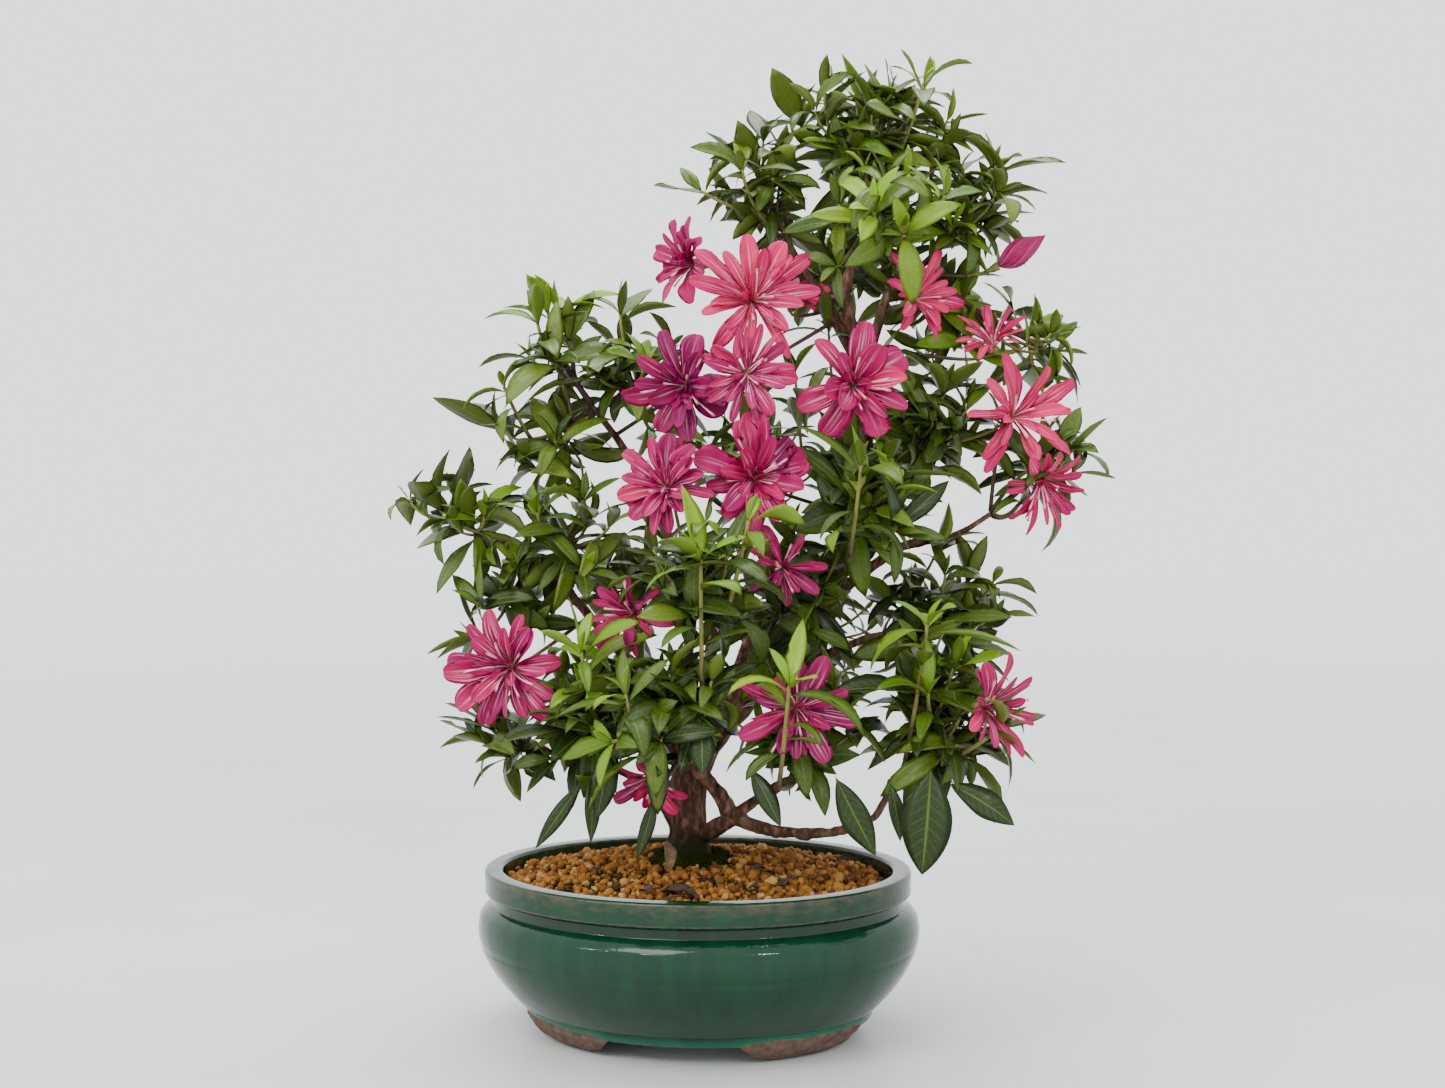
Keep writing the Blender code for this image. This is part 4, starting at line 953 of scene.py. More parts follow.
def make_grains():
    """Clay grains: balls of 24 faces with each corner moved, stretched and turned.

    They stand on a triangular grid, each moved a little, some in a second layer.
    """
    rng = np.random.default_rng(SEEDS["grains"])
    soil = node_tree("akadama_top_layer")
    low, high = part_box("akadama_top_layer")
    across = np.arange(low[0], high[0], GRAIN_PITCH)
    up = np.arange(low[1], high[1], GRAIN_PITCH * 0.866)
    gx, gy = np.meshgrid(across, up)
    gx = gx + (np.arange(len(up)) % 2)[:, None] * GRAIN_PITCH / 2
    x, y = gx.ravel(), gy.ravel()
    again = rng.random(len(x)) < 0.38
    x, y = np.concatenate([x, x[again]]), np.concatenate([y, y[again]])
    upper = np.concatenate([np.zeros(again.size), np.ones(again.sum())])
    x = x + rng.normal(0, 0.9 * MM, len(x))
    y = y + rng.normal(0, 0.9 * MM, len(y))
    z = soil_heights(soil, x, y)
    keep = (pot_share(x, y, 14.2 * MM) < 1) & ~np.isnan(z)
    x, y, z, upper = (part[keep] for part in (x, y, z, upper))
    count = len(x)
    size = rng.gamma(8.0, 1.0, count) / 8.0 * GRAIN_SIZE + 0.40 * MM
    bumps = lattice_noise(np.stack([x, y, z], -1), (0.02, 0.02, 0.02), 5) * 1.2 * MM
    z = z + upper * 2.4 * MM + rng.uniform(-0.9, 1.0, count) * MM + np.maximum(bumps, -1.0 * MM)
    ball, faces = lump_plan()
    shape = ball[None] * (1 + rng.uniform(-0.22, 0.22, (count, len(ball), 1)))
    shape = shape * (size[:, None] * rng.uniform(0.72, 1.28, (count, 3)))[:, None]
    shape = np.einsum("nij,nkj->nki", turns(rng, count), shape)
    points = shape + np.stack([x, y, z], -1)[:, None]
    tone = np.clip(rng.normal(0.52, 0.24, count), 0, 1)
    tone = np.where(rng.random(count) < 0.05, rng.uniform(0, 0.12, count), tone)
    tone = np.where(rng.random(count) < 0.06, rng.uniform(0.9, 1.0, count), tone)
    for part, name in enumerate(("grains_a", "grains_b")):
        chosen = np.arange(count) % 2 == part
        quads = copied(faces, chosen.sum(), len(ball))
        tones = np.repeat(tone[chosen], len(ball))
        piece = put_mesh(name, points[chosen], quads, values={"tone": tones}, smooth=False)
        dress(piece, GRAINS, "akadama_grains")


def spikes(foot, way, height, radius):
    """Many four-sided spikes: a square foot across each way, drawn to a point."""
    side, other = (part * radius[:, None] for part in across_of(way))
    points = np.stack(
        [foot - side, foot - other, foot + side, foot + other, foot + way * height[:, None]], axis=1
    )
    base = np.array([[3, 2, 1, 0]])
    return points, copied(base, len(foot), 5), copied(fan(0, 4, 4), len(foot), 5)


def make_moss():
    """Moss as fine spikes on the collar, on the trunk's foot and in patches of the soil."""
    rng = np.random.default_rng(SEEDS["moss"])
    middle, half = node_box("moss_collar")
    soil = node_tree("akadama_top_layer")
    ring = node_tree("moss_collar")
    count = COLLAR_TUFTS
    turn = rng.uniform(0, 2 * math.pi, count)
    reach = half[0] * rng.uniform(0.55, 1.12, count)
    x, y = middle[0] + reach * np.cos(turn), middle[1] + reach * np.sin(turn)
    z = np.fmax(soil_heights(ring, x, y), soil_heights(soil, x, y))
    patches = []
    for right, away, wide, many in MOSS_PATCHES:
        step = rng.normal(0, wide / 2, (many, 2)) * [1.3, 0.6]
        px, py = pot_place(right + step[:, 0], away + step[:, 1])
        patches.append(np.stack([px, py, soil_heights(soil, px, py) + 1.6 * MM], -1))
    foot = np.concatenate([np.stack([x, y, z], -1), *patches])
    foot = foot[(pot_share(*foot[:, :2].T, 15 * MM) < 1) & ~np.isnan(foot[:, 2])]
    way = unit(rng.normal(0, 0.45, (len(foot), 3)) + [0, 0, 1.0])
    height = rng.uniform(1.4, 3.4, len(foot)) * MM
    radius = rng.uniform(0.35, 0.8, len(foot)) * MM
    points, quads, tris = spikes(foot - way * 0.4 * MM, way, height, radius)
    dress(put_mesh("moss_tufts", points, quads, tris, smooth=False), MOSS, "moss")


def dead_leaf(name, node, finish, seed, curl):
    """A leaf blade laid along the CAD leaf: its long axis and its flat side come from it."""
    rng = np.random.default_rng(seed)
    arm, middle, (along, wide, _) = node_axes(node)
    if along[2] < -0.2:
        along = -along
    face = np.cross(along, wide)
    face = face if face[2] > 0 else -face
    reach = arm @ along
    shape = {
        "start": [0.35], "curl": [-curl], "fold": [0.30], "cup": [0.15], "ripple": [0.12],
        "waves": [2.3], "phase": [rng.uniform(0, 6)], "twist": [0.5], "thick": [0.5 * MM],
    }
    points, quads, tris, uv, _ = blades(
        blade_plan(14, 7), leaf_outline, (middle + along * reach.min())[None], along[None],
        face[None], np.array([np.ptp(reach) * 1.02]), np.array([np.ptp(arm @ wide) / 2]), shape,
    )
    dress(put_mesh(name, points, quads, tris, uv), finish, node, node)


def make_litter():
    """Scraps of dark leaf and thin twigs lying on the grains."""
    rng = np.random.default_rng(SEEDS["litter"])
    soil = node_tree("akadama_top_layer")
    x, y = pot_place(*np.array(SCRAPS).T)
    z = soil_heights(soil, x, y) + 3.4 * MM
    count = len(SCRAPS)
    turn = rng.uniform(0, 2 * math.pi, count)
    tilt = rng.uniform(-0.15, 0.3, count)
    along = unit(np.stack([np.cos(turn), np.sin(turn), tilt], -1))
    side = unit(np.cross([[0, 0, 1.0]], along))
    face = unit(np.cross(along, side) + side * rng.normal(0, 0.3, (count, 1)))
    face = square_to(along, face)
    shape = blade_shape(
        rng, start=rng.uniform(0, 0.5, count), curl=-rng.uniform(0.5, 1.8, count),
        fold=rng.uniform(0.1, 0.6, count), cup=(0, 0.4), ripple=(0.05, 0.3), waves=(1, 3),
        twist=0.8, thick=0.5 * MM,
    )
    length = rng.uniform(7, 13, count) * MM
    points, quads, tris, uv, _ = blades(
        blade_plan(7, 5), leaf_outline, np.stack([x, y, z], -1), along, face, length,
        length * rng.uniform(0.16, 0.26, count), shape,
    )
    dress(put_mesh("leaf_scraps", points, quads, tris, uv), DARK_LEAF, "dark_leaf")
    starts = np.stack([x, y, z - 0.6 * MM], -1)[4:]
    steps = np.linspace(0, 1, 6)[None, :, None]
    heading = unit(rng.normal(size=(len(starts), 3)) * [1, 1, 0.08])[:, None]
    paths = starts[:, None] + heading * steps * TWIG_LENGTH
    paths = paths + np.sin(steps * 5) * [[[0, 0, 1.2 * MM]]]
    radii = np.full(paths.shape[:2], 0.7 * MM)
    put_rods("fallen_twigs", STEM, "bark", paths, radii, 5, lambda place: place * 0)


# ---------------------------------------------------------------- wood

VOXEL = 1.0 * MM
RIDGE_CELL = (2.6 * MM, 2.6 * MM, 11 * MM)
LUMP_CELL = (9 * MM, 9 * MM, 14 * MM)
STOUT_LOW, STOUT_HIGH = SOIL_HIGH + 0.02, SOIL_HIGH + 0.30     # where the ridges fade


def make_wood():
    """The CAD wood, remeshed fine and smoothed, with ridges of bark raised along it."""
    wood = put_thing("old_wood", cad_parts["trunk_and_limbs"].data.copy())
    weld = wood.modifiers.new("weld", "WELD")
    weld.merge_threshold = 0.00001
    remesh = wood.modifiers.new("remesh", "REMESH")
    remesh.mode = "VOXEL"
    remesh.voxel_size = VOXEL
    smooth = wood.modifiers.new("smooth", "SMOOTH")
    smooth.iterations = 3
    wood.data = fine = shaped(wood)
    count = len(fine.vertices)
    points = np.empty(count * 3, np.float32)
    normals = np.empty(count * 3, np.float32)
    fine.vertices.foreach_get("co", points)
    fine.vertices.foreach_get("normal", normals)
    points = points.reshape(-1, 3).astype(float)
    normals = normals.reshape(-1, 3)
    ridges, lumps = lattice_noise(points, RIDGE_CELL, 7), lattice_noise(points, LUMP_CELL, 8)
    stout = smoothstep(STOUT_HIGH, STOUT_LOW, points[:, 2])
    lift = ridges * (0.18 * MM + 0.32 * MM * stout) + lumps * (0.2 * MM + 0.8 * MM * stout)
    points += normals * lift[:, None]
    fine.vertices.foreach_set("co", points.astype(np.float32).ravel())
    fine.update()
    fine.shade_smooth()
    dress(wood, BARK, "bark", "trunk_and_limbs")
    return points


# ---------------------------------------------------------------- flowers

FLOWER_LOOKS = {
    # name: (petals as a share of the usual count, breadth, streaks, tone)
    "crown_left_side": (0.9, 1.20, 0.25, 0.30),
    "crown_left": (1.2, 0.85, 0.95, 0.80),
    "centre_left": (0.9, 1.35, 0.35, 0.10),
    "centre_top": (1.3, 0.85, 0.95, 0.35),
    "centre_right": (0.8, 1.45, 0.75, 0.45),
    "lower_left": (1.3, 1.00, 0.65, 0.35),
    "lower_right": (1.1, 1.25, 0.60, 0.45),
    "crown_behind": (1.0, 0.90, 0.70, 0.95),
    "crown_right": (1.0, 0.78, 0.70, 0.90),
    "shoulder_thin": (1.0, 0.60, 0.60, 0.75),
    "right_open": (1.1, 0.75, 0.75, 0.85),
    "right_hanging": (1.0, 0.75, 0.80, 0.70),
    "low_left": (1.3, 0.90, 0.90, 0.40),
    "low_centre": (1.0, 0.85, 0.85, 0.25),
    "low_right": (0.9, 0.75, 0.85, 0.45),
    "inner_left": (0.8, 0.85, 0.50, 0.40),
    "inner_centre": (0.8, 0.85, 0.60, 0.35),
    "by_trunk": (0.8, 1.00, 0.70, 0.60),
}


def petal_outline(u):
    """Half width along a strap petal: a narrow claw, widest near the end, round tip."""
    rise = 0.16 + 0.84 * smoothstep(0.0, 0.72, u)
    tip = np.sqrt(np.clip(1 - np.clip((u - 0.74) / 0.26, 0, 1) ** 2.2, 0, 1))
    return rise * (0.06 + 0.94 * tip)


def leaf_outline(u):
    """Half width along a leaf: a short stalk, widest past the middle, a drawn-out tip."""
    body = np.sin(np.pi * np.clip((u - 0.05) / 0.95, 0, 1) ** 0.95) ** 0.92
    return 0.045 * (1 - u) + 0.955 * body


def flower_frame(node):
    """(heart, axis, radius) of a flower: the CAD solid's thin direction, back to front."""
    arm, middle, (_, _, axis) = node_axes(node)
    reach = arm @ axis
    if abs(reach.min()) < abs(reach.max()):
        axis, reach = -axis, -reach
    sideways = np.linalg.norm(arm - np.outer(reach, axis), axis=1)
    return middle + axis * reach.min() * 0.45, axis, np.percentile(sideways, 92)


def make_flower(node, seed, crowd, breadth, streak, tone):
    """Three rounds of strap petals about the axis, the inner ones shorter and steeper."""
    rng = np.random.default_rng(seed)
    heart, axis, radius = flower_frame(node)
    side, other = (part[0] for part in across_of(axis[None]))
    rows = []
    for many, size, wide, opening in (
        (round(9 * crowd), 1.0, 0.165, 1.20), (round(8 * crowd), 0.88, 0.125, 0.92),
        (5, 0.58, 0.09, 0.55),
    ):
        turn = np.arange(many) * 2 * math.pi / many + rng.uniform(0, 6)
        turn = turn + rng.normal(0, 0.13, many)
        out = around(turn, side, other)
        spread = opening + rng.normal(0, 0.13, many)
        first = unit(around(spread * 0.55, axis, out))
        up = axis - first * (first @ axis)[:, None]
        up = unit(np.where(np.linalg.norm(up, axis=1, keepdims=True) > 1e-3, up, -out))
        rows.append((
            heart - axis * radius * 0.34 + out * radius * 0.02, first, up,
            radius * size * rng.uniform(0.90, 1.18, many) * 1.15,
            radius * (wide * breadth) * rng.uniform(0.6, 1.4, many),
            -spread * rng.uniform(0.75, 1.1, many),
        ))
    foot, along, face, length, width, lean = (np.concatenate(part) for part in zip(*rows))
    count = len(length)
    shape = blade_shape(
        rng, start=0.12, curl=lean + rng.normal(0, 0.15, count),
        fold=rng.normal(0.12, 0.10, count), cup=(0.05, 0.45), ripple=(0.08, 0.40),
        waves=(1.0, 2.8), twist=0.35, thick=0.45 * MM,
    )
    points, quads, tris, uv, size = blades(
        blade_plan(12, 7, 1.8), petal_outline, foot, along, face, length, width, shape
    )
    tones = np.clip(rng.normal(tone, 0.14, count), 0, 1)
    streaks = np.clip(rng.normal(streak, 0.25, count), 0.1, 1)
    petals = put_mesh(
        node.replace("flower_", "petals_"), points, quads, tris, uv,
        {"tone": np.repeat(tones, size), "streak": np.repeat(streaks, size)},
    )
    dress(petals, PETAL, "petals", node)
    make_filaments(node, heart - axis * radius * 0.28, axis, side, other, radius, rng)
    return heart - axis * radius * 0.33, axis, radius


def make_bud(node, petals=5):
    """A closed bud: a spindle on the solid's long axis, with petal edges wound round it.

    The radius swells as sin(pi s^0.8) and steps up by a tenth along each spiral edge.
    """
    arm, middle, axes = node_axes(node)
    axis = axes[0] * np.sign(axes[0][2])
    reach = arm @ axis
    foot, length = middle + axis * reach.min(), np.ptp(reach)
    radius = np.linalg.norm(arm - np.outer(reach, axis), axis=1).max()
    s = np.linspace(0, 1, 30)
    swell = radius * (0.12 + 0.88 * np.sin(np.pi * s**0.8)) * np.sqrt(1 - s**6)
    path = foot + axis * length * s[:, None]
    points, quads, tris, _ = rods(path[None], swell[None], 60)
    high = (points - foot) @ axis
    beside = points - foot - np.outer(high, axis)
    turn = np.arctan2(beside @ axes[2], beside @ axes[1]) / (2 * math.pi)
    wind = np.mod(turn * petals + 1.3 * high / length, 1.0)
    points = foot + np.outer(high, axis) + beside * (0.92 + 0.16 * wind**3)[:, None]
    uv = np.stack([0.35 + 0.6 * high / length, wind], axis=-1)
    bud = put_mesh(
        "closed_bud", points, quads, tris, uv,
        {"tone": np.full(len(points), 0.25), "streak": np.full(len(points), 0.35)},
    )
    dress(bud, PETAL, "petals", node)
    return foot, axis, radius


def make_filaments(node, foot, axis, side, other, radius, rng):
    """Thin curved rods from the throat, each ending in a small dark anther."""
    count = 7
    turn = rng.uniform(0, 2 * math.pi, count)
    out = around(turn, side, other)
    reach = radius * rng.uniform(0.55, 0.95, count)[:, None]
    bend = rng.uniform(0.15, 0.6, count)[:, None]
    t = np.linspace(0, 1, 8)[None, :, None]
    way = (axis * (1 - bend * 0.4) + out * bend)[:, None]
    hook = (np.cross(out, axis) * rng.normal(0, 0.3, (count, 1)) + out * bend)[:, None]
    paths = foot + (way * t + hook * t**2 * 0.6) * reach[:, None]
    thick = np.full((count, 8), 0.42 * MM)
    thick[:, -1] = 0.75 * MM
    thick[:, -2] = 0.60 * MM
    name = node.replace("flower_", "stamens_")
    put_rods(name, FILAMENT, "petals", paths, thick, 5, lambda place: place)


# ---------------------------------------------------------------- shoots and leaves

FLOWER_BACK = -4 * MM       # how far behind a flower's heart its clear room begins
FLOWER_CLEAR = 85 * MM      # and how far in front it ends


class Crown:
    """The wood that stems start from, and the open flowers that leaves keep clear of."""

    def __init__(self, wood_points, flowers):
        self.wood = wood_points
        self.flowers = flowers

    def nearest_wood(self, place):
        """The point of the wood's surface nearest to a place."""
        away = np.linalg.norm(self.wood - place, axis=1)
        return self.wood[np.argmin(away)]

    def hides_flower(self, places, margin):
        """True where a place is in front of a flower, or among its petals."""
        hidden = np.zeros(len(places), bool)
        for heart, axis, radius in self.flowers:
            arm = places - heart
            ahead = arm @ axis
            beside = np.linalg.norm(arm - ahead[:, None] * axis, axis=1)
            hidden |= (ahead > FLOWER_BACK) & (ahead < FLOWER_CLEAR) & (beside < radius * margin)
        return hidden


def quadratic(a, b, c, steps):
    """Points of the curve from a to c drawn towards b."""
    t = np.linspace(0, 1, steps)[None, :, None]
    return (1 - t) ** 2 * a[:, None] + 2 * t * (1 - t) * b[:, None] + t**2 * c[:, None]


def leaf_ways(stem_way, turn, angle):
    """First direction and upper face of leaves set round a stem at an angle to it."""
    side, other = across_of(stem_way, 0.95)
    out = around(turn, side, other)
    return around(angle, stem_way, out), around(angle, -out, stem_way)


SPRAY_LOOKS = {
    # name: (shoots as a share of the usual count, leaf size, share of fresh shoots, reach)
    "right_low_front": (0.80, 1.20, 0.30, 0.90),
    "front_high": (1.05, 1.05, 0.40, 1.00),
    "front_low": (1.05, 1.05, 0.20, 1.00),
    "front_right_low": (1.00, 1.05, 0.30, 1.00),
    "left_low": (1.00, 1.05, 0.30, 1.00),
    "left_low_tip": (0.45, 1.05, 0.15, 0.85),
    "left_lower": (0.40, 1.15, 0.15, 0.90),
    "left_middle": (0.34, 1.15, 0.25, 0.95),
    "left_upper": (0.28, 1.15, 0.25, 0.95),
    "far_left": (0.28, 1.15, 0.15, 0.95),
    "left_high": (0.35, 1.10, 0.50, 1.00),
    "inner_left": (0.50, 1.05, 0.25, 1.00),
    "apex": (0.70, 1.05, 0.40, 0.95),
    "apex_left": (0.55, 1.05, 0.35, 0.95),
    "crown_front": (0.80, 1.05, 0.35, 1.00),
    "crown_right": (0.50, 1.05, 0.30, 0.75),
    "right_shoulder": (0.50, 1.05, 0.20, 0.75),
    "right_upper": (0.50, 1.05, 0.20, 0.75),
    "right_outer": (0.70, 1.05, 0.15, 0.85),
    "crown_back": (0.40, 1.00, 0.05, 0.90),
    "back_middle": (0.40, 1.00, 0.05, 1.00),
    "back_low": (0.40, 1.00, 0.05, 1.00),
    "back_left": (0.35, 1.00, 0.05, 1.00),
}
PLAIN_LOOK = (0.80, 1.05, 0.15, 1.00)
SHOOTS = 16                 # on a spray of the usual half size
USUAL_HALF = 35 * MM
STEM_STEPS = 9
STALK_STEPS = 10
TIP_ROOM = 24 * MM          # left above the highest stems for their leaves
WHORL, BELOW = 6, 4         # leaves at a shoot's tip, and under them
LEAF_SPACING = 8.5 * MM
# Values by a leaf's rank from the tip of its shoot: the ranks, then the values.
RANK_ANGLE = ((0, 1, 3, 5, 9), (14, 28, 52, 68, 88))            # degrees from the stem
RANK_LENGTH = ((0, 1, 2, 4, 6, 9), (15, 21, 30, 36, 37, 31))    # mm
RANK_YOUTH = ((0, 3, 6, 9), (1.0, 0.85, 0.4, 0.1))              # on a fresh shoot
RANK_PLAIN_YOUTH = ((0, 1, 3), (0.5, 0.25, 0.0))                # on any other
TOP_LIGHT_TONE = ((0.15, 0.45), (0.28, 0.52))                      # painted light: leaves painted lighter higher up, where light falls from above
EASE_FROM, EASE_ROOM = 0.85, 0.22       # shares of the half depth, for draw_in


class Shoots:
    """Stems (shoot, step, xyz) with each one's leaf size and freshness."""

    def __init__(self, stems, size, fresh):
        self.stems = stems
        self.size, self.fresh = (
            np.broadcast_to(part, len(stems)).astype(float) for part in (size, fresh)
        )


def spray_shoots(name, rng, crown):
    """Shoots from a branchlet inside the spray's solid out to and past its surface.

    The tips are spread over the solid by the golden angle, pulled a little upwards.
    Each shoot is a curve that sags first and turns up.
    """
    node = f"spray_{name}"
    crowding, leaf_size, fresh, far = SPRAY_LOOKS.get(name, PLAIN_LOOK)
    tree = node_tree(node)
    middle, half = node_box(node)
    half = np.mean(half)
    count = max(5, round(SHOOTS * crowding * (half / USUAL_HALF) ** 2))
    k = np.arange(count) + 0.5
    height = 1 - 2 * k / count
    ring = np.sqrt(1 - height**2)
    turn = k * GOLDEN + rng.uniform(0, 6)
    way = np.stack([ring * np.cos(turn), ring * np.sin(turn), height], -1)
    way = unit(way + rng.normal(0, 0.15, way.shape) + [0, 0, 0.15])
    hits = [tree.ray_cast(Vector(middle), Vector(one))[3] or half for one in way]
    inner = rng.random(count) < 0.28
    share = np.where(inner, rng.uniform(0.2, 0.6, count), rng.uniform(0.55, 1.05, count))
    tips = middle + way * (np.array(hits) * share * far)[:, None]
    tips[:, 2] = np.minimum(tips[:, 2], CAD_BOX[1][2] - TIP_ROOM)
    keep = ~crown.hides_flower(tips, 1.1)
    tips, inner = tips[keep], inner[keep]
    count = len(tips)
    root = crown.nearest_wood(middle)
    sag = (root + middle) / 2 - [0, 0, 0.1 * half]
    branchlet = quadratic(root[None], sag[None], middle[None], STEM_STEPS)
    starts = branchlet[0][(rng.uniform(0.3, 1.0, count) * (STEM_STEPS - 1)).astype(int)]
    arm = tips - starts
    reach = np.linalg.norm(arm, axis=1, keepdims=True)
    knees = starts + arm * 0.6 - reach * [[0, 0, 0.25]] + rng.normal(0, 0.08, arm.shape) * reach
    stems = quadratic(starts, knees, tips, STEM_STEPS)
    is_fresh = (rng.random(count) < fresh) & ~inner
    freshness = np.where(is_fresh, rng.uniform(0.6, 1.0, count), 0)
    return branchlet, Shoots(stems, leaf_size, freshness)


def leaf_positions(shoots, rng):
    """Foot, tangent, rank and turn of every leaf of some shoots, as (shoot, leaf) arrays.

    A whorl sits at the tip, a millimetre between leaves; the others stand evenly spaced
    below it.  Each is turned from the one before by the golden angle.
    """
    rank = np.tile(np.arange(WHORL + BELOW), (len(shoots.stems), 1)).astype(float)
    lower = WHORL * MM + (rank - WHORL + 0.8) * LEAF_SPACING
    down = np.where(rank < WHORL, rank * MM, lower)
    down = down * rng.uniform(0.85, 1.15, (len(rank), 1))
    length = np.linalg.norm(np.diff(shoots.stems, axis=1), axis=2).sum(axis=1)
    place = np.clip(1 - down / length[:, None], 0.05, 1.0) * (STEM_STEPS - 1)
    index = np.minimum(place.astype(int), STEM_STEPS - 2)
    part = (place - index)[..., None]
    rows = np.arange(len(rank))[:, None]
    before, after = shoots.stems[rows, index], shoots.stems[rows, index + 1]
    foot = before * (1 - part) + after * part
    tangent = unit(unit(after - before) + [0, 0, 0.55])
    turn = rank * GOLDEN + rng.uniform(0, 6, (len(rank), 1)) + rng.normal(0, 0.25, rank.shape)
    return foot, tangent, rank, turn


def draw_in(points):
    """The same points with those far out in depth eased back, so the crown keeps its depth.

    Past the free depth d the distance becomes d + room * tanh(beyond / room).
    """
    middle = (CAD_BOX[0][1] + CAD_BOX[1][1]) / 2
    half = (CAD_BOX[1][1] - CAD_BOX[0][1]) / 2
    free, room = EASE_FROM * half, EASE_ROOM * half
    depth = points[:, 1] - middle
    eased = free + room * np.tanh((np.abs(depth) - free) / room)
    points[:, 1] = middle + np.sign(depth) * np.where(np.abs(depth) > free, eased, np.abs(depth))
    return points


def put_leaves(name, nodes, blade, youth, rng, tone, rows=6):
    """Leaves as one piece; blade holds foot, along, face, length, width and shape."""
    plan = blade_plan(rows, 5)
    points, quads, tris, uv, size = blades(plan, leaf_outline, *blade)
    count = len(youth)
    tone = np.clip(rng.normal(tone, 0.24, count), 0, 1)
    values = {
        "young": np.repeat(youth, size), "tone": np.repeat(tone, size),
        "under": np.tile(np.clip(-plan[2], 0, 1), count),
    }
    dress(put_mesh(name, draw_in(points), quads, tris, uv, values), LEAF, "foliage", *nodes)


def put_stems(name, branchlet, shoots):
    """Stems of some shoots, and the branchlet they stand on, as one piece."""
    stout = 1 + 0.35 * shoots.fresh[:, None]
    thick = np.linspace(1.15, 0.80, STEM_STEPS)[None] * MM * stout
    points, quads, tris, along = rods(shoots.stems, thick, 6)
    start = np.where(shoots.fresh > 0, 0.05, 0.20)
    start = np.repeat(start, len(along) // len(start))
    green = smoothstep(start, start + 0.5, along)
    if branchlet is not None:
        body = rods(branchlet, np.linspace(2.1, 1.4, STEM_STEPS)[None] * MM, 7)
        quads = np.concatenate([quads, body[1] + len(points)])
        tris = np.concatenate([tris, body[2] + len(points)])
        points = np.concatenate([points, body[0]])
        green = np.concatenate([green, body[3] * 0])
    stems = put_mesh(f"stems_{name}", draw_in(points), quads, tris, values={"green": green})
    dress(stems, STEM, "foliage")


def dress_shoots(name, branchlet, shoots, rng, crown, *nodes):
    """Stems and leaves of some shoots; says how many leaves there are.

    Leaves near the tip are short, steep and young; some are left out at random, and
    those that would hide a flower always are.
    """
    put_stems(name, branchlet, shoots)
    count = len(shoots.stems)
    foot, tangent, rank, turn = leaf_positions(shoots, rng)
    angle = np.radians(np.interp(rank, *RANK_ANGLE))
    angle = angle + rng.normal(0, 0.16, rank.shape)
    length = np.interp(rank, *RANK_LENGTH) * MM
    length = length * rng.uniform(0.70, 1.22, rank.shape) * shoots.size[:, None]
    length = length * rng.uniform(0.88, 1.12, (count, 1))
    youth = np.interp(rank, *RANK_YOUTH) * shoots.fresh[:, None]
    plain = np.interp(rank, *RANK_PLAIN_YOUTH) * rng.uniform(0, 1, (count, 1))
    youth = np.clip(np.maximum(youth, plain) + rng.normal(0, 0.05, rank.shape), 0, 1)
    drop = rng.random(rank.shape) < np.where(rank < 2, 0.04, 0.16)
    keep = ~drop.ravel()
    foot, tangent = (part.reshape(-1, 3)[keep] for part in (foot, tangent))
    turn, angle, length, youth = (grid.ravel()[keep] for grid in (turn, angle, length, youth))
    along, face = leaf_ways(tangent, turn, angle)
    keep = ~crown.hides_flower(foot + along * length[:, None] * 0.75, 0.90)
    foot, along, face, angle, length, youth = (
        part[keep] for part in (foot, along, face, angle, length, youth)
    )
    count = len(foot)
    shape = blade_shape(
        rng, start=rng.normal(0.10, 0.14, count),
        curl=-rng.uniform(0.10, 1.40, count) * (0.35 + np.sin(angle)),
        fold=rng.normal(0.30, 0.14, count), cup=(-0.12, 0.15), ripple=(0.0, 0.12),
        waves=(1.0, 2.2), twist=0.50, thick=0.55 * MM,
    )
    blade = (foot, along, face, length, length * rng.uniform(0.130, 0.190, count), shape)
    # Painted light: each leaf's tone rises with its height, lighter where the light from above
    # falls.
    tone = np.interp(foot[:, 2], *TOP_LIGHT_TONE)
    put_leaves(f"leaves_{name}", nodes, blade, youth, rng, tone)
    return count


# Shoots that stand out of the crown: foot, tip, leaf size, freshness.
TALL_SHOOTS = (
    ((0.005, -0.090, 0.100), (0.005, -0.105, 0.180), 1.10, 1.0),
    ((0.015, -0.085, 0.140), (0.030, -0.100, 0.200), 1.05, 1.0),
    ((0.045, -0.095, 0.060), (0.050, -0.115, 0.115), 1.10, 1.0),
    ((0.115, -0.065, 0.070), (0.125, -0.085, 0.145), 1.35, 1.0),
    ((0.140, -0.060, 0.070), (0.165, -0.080, 0.090), 1.15, 0.3),
    ((-0.050, -0.050, 0.080), (-0.060, -0.075, 0.130), 1.05, 0.9),
    ((-0.070, 0.000, 0.260), (-0.085, 0.000, 0.325), 0.95, 1.0),
    ((-0.095, 0.000, 0.250), (-0.110, -0.005, 0.280), 0.95, 0.5),
    ((0.045, 0.000, 0.380), (0.005, 0.000, 0.395), 0.95, 0.2),
    ((0.105, 0.005, 0.400), (0.120, 0.000, 0.450), 0.95, 0.5),
    ((0.120, 0.005, 0.400), (0.150, 0.000, 0.435), 0.95, 0.4),
    ((-0.110, 0.000, 0.190), (-0.150, 0.000, 0.210), 1.05, 0.0),
    ((0.175, 0.005, 0.280), (0.210, 0.000, 0.310), 0.95, 0.4),
    ((0.190, 0.000, 0.210), (0.215, -0.010, 0.235), 1.05, 0.1),
    ((-0.020, -0.085, 0.060), (-0.035, -0.105, 0.110), 1.05, 0.4),
    ((0.085, -0.070, 0.180), (0.090, -0.090, 0.230), 0.95, 0.5),
    ((0.065, 0.020, 0.235), (0.060, 0.010, 0.290), 1.00, 0.1),
    ((0.085, 0.020, 0.250), (0.080, 0.010, 0.315), 1.00, 0.2),
)
